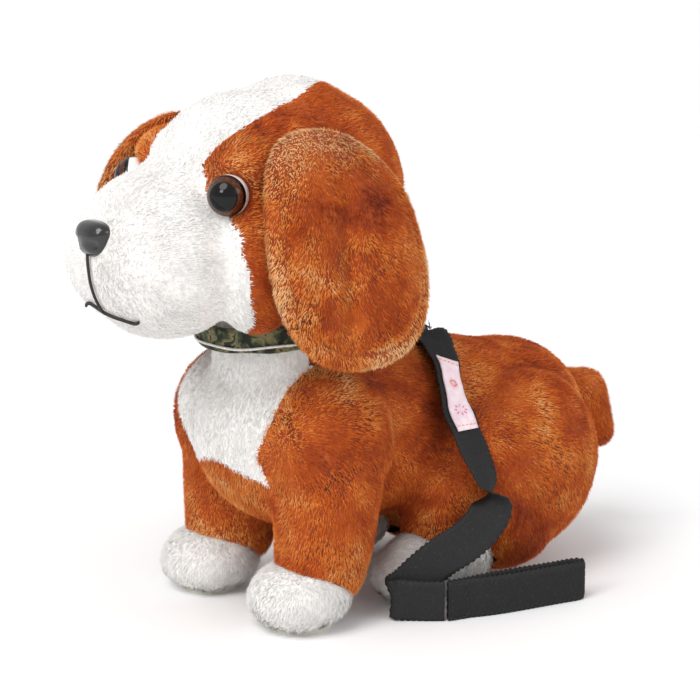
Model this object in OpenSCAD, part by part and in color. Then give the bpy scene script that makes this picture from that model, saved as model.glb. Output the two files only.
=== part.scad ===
// Plush puppy on a lead that walks, barks and wags its tail.
// The nose points along -Y, the left side of the dog is +X, and the feet stand on Z = 0.

/* [Body] */
// Radius of the chest
chest_r = 54; // [52:1:55]
// Radius of the rump
rump_r = 44; // [43:1:45]
// Height of the flat belly above the floor
belly_z = 50; // [49:0.5:51]
// Radius of the haunch, seen from the side
haunch_r = 50; // [49:1:51]
// Half of the thickness of the haunch, across the dog
haunch_h = 29; // [28:1:30]

/* [Head] */
// Radius of the head at the brow
head_r = 58; // [57:1:59]
// Height of the middle of the brow
head_z = 201; // [200:1:202]
// Thickness of the plush fabric with its pile
skin_t = 3; // [2:0.5:4]
// Radius of the muzzle, seen from the front
muzzle_r = 48; // [47:1:49]
// Half of the length of the muzzle ellipse
muzzle_h = 40; // [39:1:41]
// Radius of an eye ball
eye_r = 9; // [8:0.5:9.5]
// Thickness of an ear
ear_t = 20; // [16:1:22]
// Radius of the neck
neck_r = 38; // [37:0.5:39]
// Height of the collar band
collar_h = 12; // [10:0.5:12.5]

/* [Legs] */
// Sideways place of the leg frames, at their inner face
frame_x = 32; // [32:0.5:33]
// Thickness of a leg frame
frame_t = 3; // [2:0.5:3]
// Radius of the shoulder cap, seen from the side
shoulder_r = 34; // [32:1:35]
// Radius of the knee cap, seen from the side
knee_r = 32; // [30:1:32]
// Radius of a front paw, seen from above
paw_r = 28; // [27:1:28]
// Greatest swing of a leg either way, in degrees
swing = 8; // [6:1:8]

/* [Gearbox] */
// Module of the gear teeth
gear_m = 0.5; // [0.5:0.5:0.5]
// Teeth on the large wheels
wheel_teeth = 40; // [40:1:40]
// Teeth on the pinions
pinion_teeth = 10; // [10:1:10]
// Width of the gearbox case
case_w = 52; // [52:0.5:53]
// Wall thickness of the gearbox case
wall = 2; // [1.5:0.5:2]

/* [Battery] */
// Diameter of a battery cell
cell_d = 14.5; // [14:0.5:14.5]
// Length of a battery cell
cell_l = 50.5; // [50:0.5:50.5]

/* [Lead] */
// Width of the webbing
web_w = 20; // [18:1:20]
// Thickness of the webbing
web_t = 1.6; // [1.2:0.2:1.8]
// Length of the hand loop
loop_l = 80; // [70:1:84]

/* [Hidden] */
$fn = 48;
gap = 0.3;            // space between soft parts that move
fit = 0.05;           // radial clearance of a running fit
leg_face = 37.6;      // the upper legs' inner face, beside the frames
screw_room = 2;       // above the case, for the screws' heads
// The chest and rump balls that the torso tapers between
chest = [0, -34, 88];
rump = [0, 100, 72];
// The head tapers a little from the brow back to the crown
head = [0, -68, head_z];
crown = [0, -28, head_z + 6];
crown_less = 5;       // the crown is this much less in radius than the brow
muzzle = [0, -110, 185];
neck = [0, -44, 138];
neck_tilt = 5;
// The hinge points of the legs, on the left side
front_hip = [0, -42, 90];
hind_hip = [0, 30, 66];
rod_arm = 14;         // height of the link rod pins above the hips
// The shafts of the gear train run along X
crank = [0, -42, 68];
mesh = gear_m * (wheel_teeth + pinion_teeth) / 2;
second = crank + [0, mesh, 0];
first = second + [0, mesh, 0];
motor_shaft = first + [0, mesh, 0];
slot_drop = front_hip[2] - crank[2];
crank_throw = slot_drop * sin(swing);
// The gearbox case
case_x = case_w / 2;
case_y0 = -59.5;
case_y1 = 78;
case_z0 = 54;
case_z1 = 100;
inner_x = case_x - wall;
// The battery bay
bay = [33, 58];
bay_y = 42;
switch_y = 6.2;       // the near side of the switch, beside the bay
cell_z = case_z0 + wall + 1.2 + cell_d / 2;
// The tail turns about an upright pin on the axis of the rump
tail_hinge = [0, 88, 88];
tail_throw = 10;
tail_room = 28;       // degrees either way that the tail's arm may sweep
tail_top = [0, 160, 77];
tail_tip = [0, 166, 54];
// The eye sits on the head ball in this direction, and looks a little forward and down
eye_dir = [40, -30, 11];
gaze = [33, -52, 8];

// The lead: its route, and the direction across the webbing at each point
route = [
    [12, 36, 127.5], [19, 35, 127], [27, 33, 124], [36.5, 30.2, 117.5], [44.4, 27.1, 108.3],
    [51, 25.5, 99], [58, 25, 90], [64, 26, 80], [69, 28, 70], [73, 29.5, 60],
    [75.5, 28, 51], [75, 22, 43], [73, 13, 36.2], [68.3, 3.5, 29.8], [63.8, -5, 22.2],
    [60.6, -12, 15.4], [58.5, -16.5, 12.5], [58.5, -19.5, 11.5], [61.5, -18.5, 10.8],
    [66.4, -12.8, 10.3], [71.3, -6.6, 10], [75.5, -0.5, 10]];
across = [
    [-6, 8, 1], [-6, 8, 2], [-6, 8, 2], [-6, 8, 3], [-6, 8, 4],
    [-6, 7, 6], [-6, 6, 7], [-5, 5, 7], [-5, 4, 7], [-5, 2, 8],
    [-5, -1, 8], [-5, -4, 7], [-5, -5, 6], [-5, -5, 6], [-5, -4, 7],
    [-4, -3, 8], [-3, -2, 9], [-2, -1, 9.5], [-1, 0, 10],
    [0, 0, 10], [0, 0, 10], [0, 0, 10]];
handle_at = [76, 1, 0];
handle_turn = -9;

// The works are drawn about the chest, and the whole dog stands this much further forward
stand = [0, -11, 0];

brown = "#b0622b";
white = "#efece6";
black = "#1b1b1d";
grey_plastic = "#8c9196";
white_plastic = "#d9d8d2";
steel = "#b9bcc0";
brass = "#c9a34e";
board_green = "#2e6b3f";

// ---- Shared shapes ----

function unit(v) = v / norm(v);

// A body of revolution about Z whose outline is half of an ellipse
module spheroid(r, h) {
    rotate_extrude()
        polygon([for (a = [-90:7.5:90]) [r * cos(a), h * sin(a)]]);
}

// A ball of radius ra at a and one of radius rb at b, with the cone that wraps both
module pill(a, b, ra, rb) {
    d = b - a;
    l = norm(d);
    tilt = asin((ra - rb) / l);
    near = [for (i = [0:9]) let (t = -90 + (90 + tilt) * i / 9) [ra * cos(t), ra * sin(t)]];
    far = [for (i = [0:9]) let (t = tilt + (90 - tilt) * i / 9) [rb * cos(t), l + rb * sin(t)]];
    translate(a)
        rotate([0, acos(d[2] / l), atan2(d[1], d[0])])
            rotate_extrude()
                polygon(concat(near, far));
}

// A rod along X from x0 to x1, through the point at
module x_rod(at, x0, x1, r) {
    translate([x0, at[1], at[2]])
        rotate([0, 90, 0])
            cylinder(r = r, h = x1 - x0);
}

// A block from its low corner to its high corner
module block(low, high) {
    translate(low)
        cube(high - low);
}

// The same thing on the right side
module right() {
    mirror([1, 0, 0])
        children();
}

module both() {
    children();
    right()
        children();
}

// A band with a rectangular section swept along points p, with direction w across it
module band(p, w, width, thick, first, last, proud = 0) {
    n = last - first + 1;
    tangent = [for (i = [first:last]) unit(p[min(i + 1, len(p) - 1)] - p[max(i - 1, 0)])];
    side = [for (i = [0:n - 1]) let (a = w[first + i]) unit(a - (a * tangent[i]) * tangent[i])];
    face = [for (i = [0:n - 1]) cross(tangent[i], side[i])];
    half = [width / 2, thick / 2];
    section = [[-1, -0.5], [-0.97, -1], [0.97, -1], [1, -0.5],
        [1, 0.5], [0.97, 1], [-0.97, 1], [-1, 0.5]];
    m = len(section);
    points = [for (i = [0:n - 1]) for (s = section)
        p[first + i] + side[i] * s[0] * half[0] + face[i] * (s[1] * half[1] + proud)];
    walls = [for (i = [0:n - 2]) for (j = [0:m - 1]) let (k = (j + 1) % m)
        each [[i * m + j, i * m + m + j, i * m + k], [i * m + k, i * m + m + j, i * m + m + k]]];
    ends = [[for (j = [0:m - 1]) j], [for (j = [m - 1:-1:0]) (n - 1) * m + j]];
    polyhedron(points, concat(walls, ends), convexity = 6);
}

// A round thread or wire of radius r through the points p, which never run along the direction across
module thread(p, r, across) {
    n = len(p);
    tangent = [for (i = [0:n - 1]) unit(p[min(i + 1, n - 1)] - p[max(i - 1, 0)])];
    side = [for (t = tangent) unit(across - (across * t) * t)];
    m = 8;
    points = [for (i = [0:n - 1]) for (j = [0:m - 1])
        p[i] + r * (cos(j * 360 / m) * side[i] + sin(j * 360 / m) * cross(tangent[i], side[i]))];
    walls = [for (i = [0:n - 2]) for (j = [0:m - 1]) let (k = (j + 1) % m)
        each [[i * m + k, i * m + m + j, i * m + j], [i * m + m + k, i * m + m + j, i * m + k]]];
    ends = [[for (j = [m - 1:-1:0]) j], [for (j = [0:m - 1]) (n - 1) * m + j]];
    polyhedron(points, concat(walls, ends), convexity = 6);
}

// Outline of a spur gear with straight-sided teeth. A tooth points along +Y when turn is 0.
module gear_outline(teeth, turn) {
    pitch = gear_m * teeth / 2;
    root = pitch - 1.25 * gear_m;
    tip = pitch + 0.9 * gear_m;
    step = 360 / teeth;
    rotate(turn)
        polygon([for (i = [0:teeth - 1]) for (q = [[-0.28, root], [-0.09, tip], [0.09, tip], [0.28, root]])
            let (a = 90 + (i + q[0]) * step) [q[1] * cos(a), q[1] * sin(a)]]);
}

// A gear wheel on the X axis through at. At turn 0 a tooth points along +Y.
module gear(at, x0, x1, teeth, turn, bore) {
    translate([x0, at[1], at[2]])
        rotate([90, 0, 90])
            difference() {
                linear_extrude(x1 - x0)
                    rotate(-90)
                        gear_outline(teeth, turn);
                translate([0, 0, -1])
                    cylinder(r = bore, h = x1 - x0 + 2);
            }
}

// ---- Outer shapes that several pieces are cut to ----

module torso_shape() {
    pill(chest, rump, chest_r, rump_r);
}

module head_ball(r) {
    pill(head, crown, r, r - crown_less);
}

module muzzle_shape() {
    translate(muzzle)
        rotate([90, 0, 0])
            spheroid(muzzle_r, muzzle_h);
}

// The neck, as a cylinder along its own tilted axis
module neck_shape(r, low, high) {
    translate(neck)
        rotate([neck_tilt, 0, 0])
            translate([0, 0, low])
                cylinder(r = r, h = high - low);
}

// The space that the case, the legs' frames and the link rods need inside the plush
module works_space() {
    block([-case_x - gap, case_y0 - gap, belly_z - 30], [case_x + gap, case_y1 + gap, case_z1 + screw_room]);
    both() {
        x_rod(front_hip, case_x, 70, shoulder_r + gap);
        x_rod(hind_hip, case_x, 70, knee_r + gap);
        leg_space(front_hip, shoulder_r, [-46, 40], 26);
        leg_space(hind_hip, knee_r, [24, 40], 24.5);
        block([case_x, -60, 40], [frame_x + frame_t + 1, 44, 112]);
    }
}

// What the upper leg sweeps as it swings about its hip: r is the hip cap's radius, and the thigh
// has radius thigh_r round thigh
module leg_space(hip, r, thigh, thigh_r) {
    translate([leg_face - gap, 0, 0])
        rotate([90, 0, 90])
            linear_extrude(40)
                hull() {
                    translate([hip[1], hip[2]])
                        circle(r = r + 2 * gap);
                    translate(thigh)
                        circle(r = thigh_r + gap + (hip[2] - thigh[1]) * sin(swing));
                }
}

module bib_cutter() {
    translate([0, -60, 0])
        rotate([90, 0, 0])
            linear_extrude(60)
                polygon([for (a = [0:10:180]) [33 * cos(a), 92 - 31 * sin(a)],
                    [-37, 145], [37, 145]]);
}

// The edge of the blaze, seen from above, from the muzzle back
blaze_edge = [[16, -130], [16, -100], [31, -40]];

module blaze_cutter() {
    translate([0, 0, head_z - 4])
        linear_extrude(90)
            polygon(concat(
                blaze_edge,
                [for (i = [len(blaze_edge) - 1:-1:0]) [-blaze_edge[i][0], blaze_edge[i][1]]]));
}

ear_root = [0, -60, 240];

module ear_shape() {
    top = 0.4 * ear_t;
    low = 0.5 * ear_t;
    hull() {
        for (p = [[52, -82, 233], [52, -38, 238]])
            translate(p)
                sphere(r = top, $fn = 20);
        for (p = [[67, -88, 205], [71, -86, 170], [73, -70, 148],
                [73, -44, 144], [73, -15, 163], [68, -19, 200]])
            translate(p)
                sphere(r = low, $fn = 20);
    }
}

// side is 1 for a left leg and -1 for a right one
module front_paw_shape(side) {
    translate([side * 39, -61, 16])
        rotate(90 - side * 90)
            spheroid(paw_r, 18);
}

module hind_foot_shape(side) {
    pill([side * 41, 6, 17.5], [side * 41, 30, 18], 17, 18.5);
}

// ---- Plush pieces of the body ----

module body_plush() {
    color(brown)
        difference() {
            torso_shape();
            translate([-100, -150, belly_z - 100])
                cube([200, 300, 100]);
            works_space();
            bib_cutter();
            neck_shape(neck_r, -collar_h / 2 - 8, 60);
            neck_shape(neck_r + 3.4, -collar_h / 2 - 0.2, 60);
            head_ball(head_r + 0.2);
            block([-18, case_y1 - 4, case_z0 + 20], [-4, 96, case_z1 - 6]);
            tail_space();
            anchor_place()
                translate([-11.5, -3, -1.3])
                    cube([29, 17, 12]);
        }
}

// The hollow at the rear that the tail arm swings in
module tail_space() {
    translate([0, tail_hinge[1], 0]) {
        translate([0, 0, 78])
            cylinder(r = 15.5, h = 18);
        translate([0, 0, tail_hinge[2] - 6])
            rotate(90 - tail_room)
                rotate_extrude(angle = 2 * tail_room)
                    square([80, 8]);
    }
}

module chest_bib() {
    color(white)
        difference() {
            intersection() {
                torso_shape();
                bib_cutter();
            }
            neck_shape(neck_r, -collar_h / 2 - 8, 60);
            neck_shape(neck_r + 3.4, -collar_h / 2 - 0.2, 60);
            translate([-100, -150, belly_z - 100])
                cube([200, 300, 100]);
            works_space();
        }
}

module neck_plush() {
    color(brown)
        difference() {
            neck_shape(neck_r - 0.1, -collar_h / 2 - 7.9, 30);
            head_ball(head_r + 0.1);
            works_space();
        }
}

module haunches() {
    color(brown)
        both()
            difference() {
                translate([37, 81, 58])
                    rotate([0, 90, 0])
                        spheroid(haunch_r, haunch_h);
                pill(chest, rump, chest_r + gap, rump_r + gap);
                works_space();
                translate([-80, 0, 0])
                    cube([100, 200, 200]);
                pill([41, -4, 17.5], [41, 37, 18], 21, 22);
                pill([40, 27, 54], [40, 24, 26], 30, 27);
            }
}

// ---- Head ----

module head_plush() {
    color(brown)
        difference() {
            head_ball(head_r);
            head_ball(head_r - skin_t);
            muzzle_shape();
            blaze_cutter();
            both()
                eye_place()
                    sphere(r = eye_r + 0.45);
        }
}

module head_blaze() {
    color(white)
        difference() {
            intersection() {
                head_ball(head_r);
                blaze_cutter();
            }
            head_ball(head_r - skin_t);
            muzzle_shape();
        }
}

module muzzle_plush() {
    color(white)
        difference() {
            muzzle_shape();
            head_ball(head_r);
            nose_shape();
            both()
                eye_place()
                    sphere(r = eye_r + 0.45);
        }
}

module head_stuffing() {
    color("#f7f5ee")
        difference() {
            head_ball(head_r - skin_t - 0.1);
            both()
                eye_place() {
                    sphere(r = eye_r + 0.1);
                    rotate([0, 180, 0])
                        cylinder(r = 8.2, h = 14.2);
                }
        }
}

module ear_left() {
    color(brown)
        difference() {
            ear_shape();
            head_ball(head_r + 0.1);
        }
}

// The right ear hangs with its tip further forward
module ear_right() {
    color(brown)
        right()
            difference() {
                translate(ear_root)
                    rotate([-13, 0, 0])
                        translate(-ear_root)
                            ear_shape();
                head_ball(head_r + 0.1);
            }
}

// Puts its children at the centre of the left eye, with +Z pointing straight out of the head
module eye_place() {
    translate(head + unit(eye_dir) * (head_r - 4))
        rotate([0, acos(eye_dir[2] / norm(eye_dir)), atan2(eye_dir[1], eye_dir[0])])
            children();
}

// The same place, with +Z along the line of sight
module gaze_place() {
    translate(head + unit(eye_dir) * (head_r - 4))
        rotate([0, acos(gaze[2] / norm(gaze)), atan2(gaze[1], gaze[0])])
            children();
}

module eye_left() {
    color("white")
        eye_place() {
            sphere(r = eye_r);
            translate([0, 0, -eye_r - 3])
                cylinder(r = 2.4, h = 6);
        }
}

module eye_right() {
    right()
        eye_left();
}

// Each iris and pupil is one thin dark cap that is bonded over the white of the eye
module eye_irises() {
    color("#3a1d10")
        both()
            gaze_place()
                intersection() {
                    difference() {
                        sphere(r = eye_r + 0.4);
                        sphere(r = eye_r + 0.01);
                    }
                    cylinder(r = 6.9, h = 20);
                }
}

// Push-on lock washers on the stems of the eyes, inside the head
module eye_washers() {
    color(white_plastic)
        both()
            eye_place()
                translate([0, 0, -eye_r - 3.5])
                    difference() {
                        cylinder(r = 8, h = 1.5);
                        translate([0, 0, -1])
                            cylinder(r = 2.45, h = 4);
                    }
}

module nose_shape() {
    hull() {
        for (x = [-6.5, 6.5])
            translate([x, -148, 199])
                sphere(r = 5.2, $fn = 20);
        translate([0, -149.5, 191.5])
            sphere(r = 5, $fn = 20);
    }
}

module nose() {
    color(black)
        nose_shape();
}

// Points on the muzzle at sideways place x and height z, a little proud of the surface
function on_muzzle(x, z, out) = let (k = 1 - pow(x / muzzle_r, 2) - pow((z - muzzle[2]) / muzzle_r, 2))
    [x, muzzle[1] - out - muzzle_h * sqrt(max(k, 0)), z];

// One black thread down from the nose, and one across for the mouth
module mouth_stitching() {
    color(black) {
        thread([for (z = [184.5:-3:160]) on_muzzle(0, z, 0.85)], 0.6, [1, 0, 0]);
        thread([for (x = [-22:2:22]) on_muzzle(x, 158.2 - 5 * pow(abs(x) / 22, 1.6), 0.85)], 0.6, [0, 1, 0]);
    }
}

// ---- Collar ----

module collar() {
    color("#3d4a2c")
        difference() {
            neck_shape(neck_r + 3, -collar_h / 2, collar_h / 2);
            neck_shape(neck_r, -collar_h, collar_h);
        }
}

module collar_cord() {
    color("#f2f2f2")
        translate(neck)
            rotate([neck_tilt, 0, 0])
                translate([0, 0, -collar_h / 4])
                    rotate_extrude()
                        translate([neck_r + 3.6, 0])
                            circle(r = 0.5);
}

// ---- Case of the works ----

post_r = 3;
post_in = 4.2;
corner_screws = [
    for (x = [-case_x + post_in, case_x - post_in])
        for (y = [case_y0 + post_in, case_y1 - post_in])
            [x, y]];
door_screw = [0, bay_y + bay[1] / 2 - 2.5];

module chassis_tray() {
    color(white_plastic)
        difference() {
            union() {
                difference() {
                    block([-case_x, case_y0, case_z0], [case_x, case_y1, case_z1 - wall]);
                    block([-inner_x, case_y0 + wall, case_z0 + wall], [inner_x, case_y1 - wall, case_z1]);
                }
                for (p = corner_screws)
                    translate([p[0], p[1], case_z0])
                        cylinder(r = post_r, h = case_z1 - wall - case_z0);
                block([-bay[0] / 2 - 1.5, bay_y - bay[1] / 2 - 1.5, case_z0],
                    [bay[0] / 2 + 1.5, bay_y + bay[1] / 2 + 1.5, cell_z + 4]);
                block([-7, case_y1 - 1, 80], [7, tail_hinge[1] + 5, 83]);
                translate([0, tail_hinge[1], 82])
                    cylinder(r = 1.5, h = 11.4);
            }
            block([-bay[0] / 2, bay_y - bay[1] / 2, case_z0 + wall],
                [bay[0] / 2, bay_y + bay[1] / 2, case_z1]);
            block([-bay[0] / 2 + 1.5, bay_y - bay[1] / 2 + 1.5, case_z0 - 1],
                [bay[0] / 2 - 1.5, bay_y + bay[1] / 2 - 1.5, case_z1]);
            for (p = corner_screws)
                translate([p[0], p[1], case_z1 - 16])
                    cylinder(r = 1, h = 20);
            x_rod(crank, -case_x - 1, case_x + 1, 1.5 + fit);
            x_rod(front_hip, -case_x - 1, case_x + 1, 1.52);
            both() {
                x_rod(hind_hip, case_x - 1.2, case_x + 1, 1.52);
                x_rod(first, inner_x - 1, case_x + 1, 1.02);
                x_rod(second, inner_x - 1, case_x + 1, 1.02);
            }
            block([-12.2, case_y1 - wall - 1, 84.3], [-7.8, case_y1 + 1, 88.7]);
            block([-7, switch_y + 0.5, case_z0 - 1], [7, switch_y + 4.5, case_z0 + wall + 1]);
        }
}

module chassis_cover() {
    color(white_plastic)
        difference() {
            block([-case_x, case_y0, case_z1 - wall], [case_x, case_y1, case_z1]);
            for (p = corner_screws)
                translate([p[0], p[1], case_z1 - 10])
                    cylinder(r = 1.3, h = 20);
            for (i = [-3:3])
                block([-sqrt(130 - 10 * i * i), 44 + 3.2 * i, case_z1 - 5],
                    [sqrt(130 - 10 * i * i), 45.4 + 3.2 * i, case_z1 + 5]);
        }
}

module screw(at, length, r, head_r, flip) {
    translate(at)
        rotate([flip ? 180 : 0, 0, 0])
            difference() {
                union() {
                    translate([0, 0, -length])
                        cylinder(r = r, h = length);
                    cylinder(r = head_r, h = 1.4);
                }
                for (a = [0, 90])
                    rotate(a)
                        translate([-head_r * 0.7, -0.3, 0.7])
                            cube([head_r * 1.4, 0.6, 2]);
            }
}

module chassis_screws() {
    color(steel)
        for (p = corner_screws)
            screw([p[0], p[1], case_z1], 12, 0.98, 2.4, false);
}

module battery_door() {
    color(white_plastic)
        difference() {
            union() {
                block([-bay[0] / 2 + 1.8, bay_y - bay[1] / 2 + 1.8, case_z0 - 0.2],
                    [bay[0] / 2 - 1.8, bay_y + bay[1] / 2 - 1.8, case_z0 + wall]);
                block([-bay[0] / 2 - 1, bay_y - bay[1] / 2 - 1, case_z0 - 1.3],
                    [bay[0] / 2 + 1, bay_y + bay[1] / 2 + 1, case_z0 - 0.05]);
            }
            for (i = [0:4])
                block([-8, bay_y - 20 + 2.4 * i, case_z0 - 2], [8, bay_y - 18.8 + 2.4 * i, case_z0 - 0.8]);
            translate([door_screw[0], door_screw[1], case_z0 - 5])
                cylinder(r = 0.95, h = 10);
        }
}

module battery_door_screw() {
    color(steel)
        screw([door_screw[0], door_screw[1], case_z0 - 1.35], 1, 0.9, 2.2, true);
}

module batteries() {
    for (s = [-1, 1])
        translate([s * (cell_d / 2 + 0.3), bay_y - s * cell_l / 2, cell_z])
            rotate([s > 0 ? -90 : 90, 0, 0]) {
                color("#3b3f46")
                    cylinder(d = cell_d, h = cell_l - 1.5);
                color(steel)
                    translate([0, 0, cell_l - 1.5])
                        cylinder(r = 2.7, h = 1.4);
            }
}

// Plates at both ends of the cells: one coil per cell at its flat end
module battery_contacts() {
    color(brass) {
        for (e = [-1, 1])
            translate([0, bay_y + e * (bay[1] / 2 - 0.45), cell_z])
                cube([26, 0.5, 10], center = true);
        for (s = [-1, 1])
            translate([s * (cell_d / 2 + 0.3), bay_y - s * (cell_l / 2 + 0.1), cell_z])
                rotate([s * 90, 0, 0])
                    cylinder(r1 = 2.4, r2 = 4.4, h = bay[1] / 2 - 0.8 - cell_l / 2);
    }
}

module circuit_board() {
    z = cell_z + cell_d / 2 + 1.4;
    color(board_green)
        block([-15, 22, z], [15, 62, z + 1.4]);
    color("#17181a")
        translate([2, 34, z + 1.4])
            spheroid(5, 1.6);
    color("#2b3c66")
        for (p = [[9, 27], [9, 54]])
            translate([p[0], p[1], z + 1.4])
                cylinder(r = 2, h = 4);
    color("#a8763e")
        for (i = [0:2])
            block([-3 + 5 * i, 43, z + 1.4], [0 + 5 * i, 45, z + 2.4]);
}

module speaker() {
    translate([0, 44.7, case_z1 - wall]) {
        color("#3a3d40")
            translate([0, 0, -3.2])
                cylinder(r = 14, h = 3);
        color(steel)
            translate([0, 0, -5.6])
                cylinder(r = 8, h = 2.4);
    }
}

module switch_body() {
    color(black)
        difference() {
            block([-8, switch_y, case_z0 + wall + 0.05], [8, switch_y + 5, case_z0 + wall + 5]);
            block([-6, switch_y + 1, case_z0], [6, switch_y + 4, case_z0 + wall + 2.5]);
        }
}

module switch_knob() {
    color("#c22f2f") {
        block([-5, switch_y + 1.2, case_z0 + wall + 0.4], [1, switch_y + 3.8, case_z0 + wall + 2.3]);
        block([-3.5, switch_y + 1.4, case_z0 - 1.6], [-0.5, switch_y + 3.6, case_z0 + wall + 1]);
    }
}

// Battery leads, motor leads and speaker leads, each a thin insulated wire
module wires() {
    bay_end = bay_y - bay[1] / 2 - 2;
    color("#b3332b") {
        thread([[13, bay_end, 70], [17, bay_end - 1, 74], [19, 20, 79], [16.5, 30, 77.5]],
            0.6, [1, 0.3, 0.2]);
        thread([[-4, 20.5, 77.2], [-6, 14, 80], [-14, 8, 79], [-17, 6.5, 72]], 0.6, [1, 0.3, 0.2]);
        thread([[4, 30.7, 89.4], [2, 26, 86], [-1, 26, 82], [-3, 27, 79]], 0.6, [1, 0.3, 0.2]);
    }
    color("#222222") {
        thread([[-13, bay_end, 70], [-17, bay_end - 1, 74], [-19, 20, 79], [-16.5, 30, 77.5]],
            0.6, [1, 0.3, 0.2]);
        thread([[-1, 20.5, 77.2], [-2, 14, 79.5], [-8, 8, 76.5], [-10, 6.5, 72]], 0.6, [1, 0.3, 0.2]);
        thread([[7, 31.7, 89.4], [6, 26, 86], [5, 25, 82], [4, 27, 79]], 0.6, [1, 0.3, 0.2]);
    }
}

// ---- Motor and gear train ----

module motor() {
    color(steel)
        intersection() {
            x_rod(motor_shaft, -22, 3, 10);
            block([-30, motor_shaft[1] - 10, motor_shaft[2] - 7.5],
                [10, motor_shaft[1] + 10, motor_shaft[2] + 7.5]);
        }
    color("#dcdcd6")
        x_rod(motor_shaft, -23.6, -22, 5);
}

module motor_pinion() {
    color(brass)
        gear(motor_shaft, 5, 9.5, pinion_teeth, 180 / pinion_teeth, 0.9);
    color(steel)
        x_rod(motor_shaft, 3.2, 10, 0.9);
}

// A compound gear: the large wheel from x to x + 2.5, and its pinion beyond a short collar
module compound_gear(at, x, wheel_turn, pinion_turn) {
    color(white_plastic) {
        gear(at, x, x + 2.5, wheel_teeth, wheel_turn, 1 + fit);
        gear(at, x + 2.5, x + 7.3, pinion_teeth, pinion_turn, 1 + fit);
    }
}

module first_gear() {
    compound_gear(first, 6, 0, 180 / pinion_teeth);
}

module second_gear() {
    compound_gear(second, 11, 0, 180 / pinion_teeth);
}

module gear_axles() {
    color(steel)
        for (at = [first, second])
            x_rod(at, -inner_x - 0.9, inner_x + 0.9, 1);
}

module output_gear() {
    color(white_plastic)
        gear(crank, 16, 18.5, wheel_teeth, 0, 1.5);
}

// The shaft across the case, with a crank disc and pin at each end and the cam of the tail
module crankshaft() {
    color(steel)
        x_rod(crank, -case_x - 0.4, case_x + 0.4, 1.5);
    color(white_plastic) {
        for (s = [0, 1])
            mirror([s, 0, 0]) {
                x_rod(crank, case_x + 0.4, case_x + 2.6, 7);
                x_rod(crank + [0, 0, (s == 0 ? -1 : 1) * crank_throw], case_x + 2.6, frame_x - 0.4, 1.5);
            }
        difference() {
            x_rod(crank + [0, 0, 2.6], -12, -9, 4.6);
            x_rod(crank, -13, -8, 1.5);
        }
    }
}

// ---- Legs ----

module leg_axles() {
    color(steel) {
        x_rod(front_hip, -frame_x - frame_t - 2, frame_x + frame_t + 2, 1.5);
        both()
            x_rod(hind_hip, case_x - 1.1, frame_x + frame_t + 2, 1.5);
    }
}

module axle_caps() {
    color(steel)
        both()
            for (at = [front_hip, hind_hip])
                difference() {
                    x_rod(at, frame_x + frame_t + 0.3, frame_x + frame_t + 1.3, 4);
                    x_rod(at, frame_x, frame_x + frame_t + 3, 1.5);
                }
}

// A strut of the leg frame between two points on its side view
module strut(a, b, ra, rb) {
    translate([frame_x, 0, 0])
        rotate([90, 0, 90])
            linear_extrude(frame_t)
                hull() {
                    translate([a[1], a[2]])
                        circle(r = ra, $fn = 32);
                    translate([b[1], b[2]])
                        circle(r = rb, $fn = 32);
                }
}

// The hub that turns on the axle, and the pin that the link rod turns on
module hip_hubs(hip) {
    x_rod(hip, frame_x - 3, frame_x + 1, 4.2);
    x_rod(hip + [0, 0, rod_arm], frame_x - 3.4, frame_x + 1, 1.5);
}

module front_frame_left() {
    foot = [0, -50, 6];
    color(grey_plastic)
        difference() {
            union() {
                strut(front_hip + [0, 0, rod_arm], front_hip, 4, 6);
                strut(front_hip, crank, 6, 7);
                strut(crank, foot, 7, 5);
                hip_hubs(front_hip);
                intersection() {
                    front_paw_sole(15);
                    block([0, -100, 0], [80, 0, 3]);
                }
            }
            x_rod(front_hip, 20, 50, 1.5 + fit);
            block([frame_x - 1, crank[1] - 1.7, crank[2] - 5.4],
                [frame_x + frame_t + 1, crank[1] + 1.7, crank[2] + 5.4]);
        }
}

module front_frame_right() {
    right()
        front_frame_left();
}

module front_paw_sole(r) {
    translate([39, -60, 0])
        cylinder(r = r, h = 3);
}

module hind_frame_left() {
    color(grey_plastic)
        difference() {
            union() {
                strut(hind_hip + [0, 0, rod_arm], hind_hip, 4, 6);
                strut(hind_hip, [0, 20, 6], 6, 5);
                hip_hubs(hind_hip);
                hind_sole();
            }
            x_rod(hind_hip, 20, 50, 1.5 + fit);
        }
}

module hind_frame_right() {
    right()
        hind_frame_left();
}

module hind_sole() {
    linear_extrude(3)
        hull()
            for (y = [10, 28])
                translate([39, y])
                    circle(r = 8, $fn = 32);
}

// The link rod that carries the swing of the front leg back to the hind leg
module link_rod_left() {
    x0 = case_x + 2.9;
    a = front_hip + [0, 0, rod_arm];
    b = hind_hip + [0, 0, rod_arm];
    color("#5d6268")
        difference() {
            translate([x0, 0, 0])
                rotate([90, 0, 90])
                    linear_extrude(2)
                        hull() {
                            translate([a[1], a[2]])
                                circle(r = 3.4, $fn = 32);
                            translate([b[1], b[2]])
                                circle(r = 3.4, $fn = 32);
                        }
            x_rod(a, x0 - 1, x0 + 4, 1.5 + fit);
            x_rod(b, x0 - 1, x0 + 4, 1.5 + fit);
        }
}

module link_rod_right() {
    right()
        link_rod_left();
}

// The space that the frame needs inside the plush of the leg
module frame_space(hip, foot) {
    block([frame_x - 4, hip[1] - 10, 38], [frame_x + frame_t + 2.5, hip[1] + 10, 120]);
    translate([frame_x - gap, 0, 0])
        rotate([90, 0, 90])
            linear_extrude(frame_t + 2 * gap)
                hull() {
                    translate([hip[1] + foot[1], hip[2] + foot[2]] / 2)
                        circle(r = 8.5);
                    translate([foot[1], foot[2]])
                        circle(r = 5 + gap);
                }
    block([0, -100, 0], [frame_x + frame_t + 2 * gap, 100, 3.05]);
    children();
}

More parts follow.
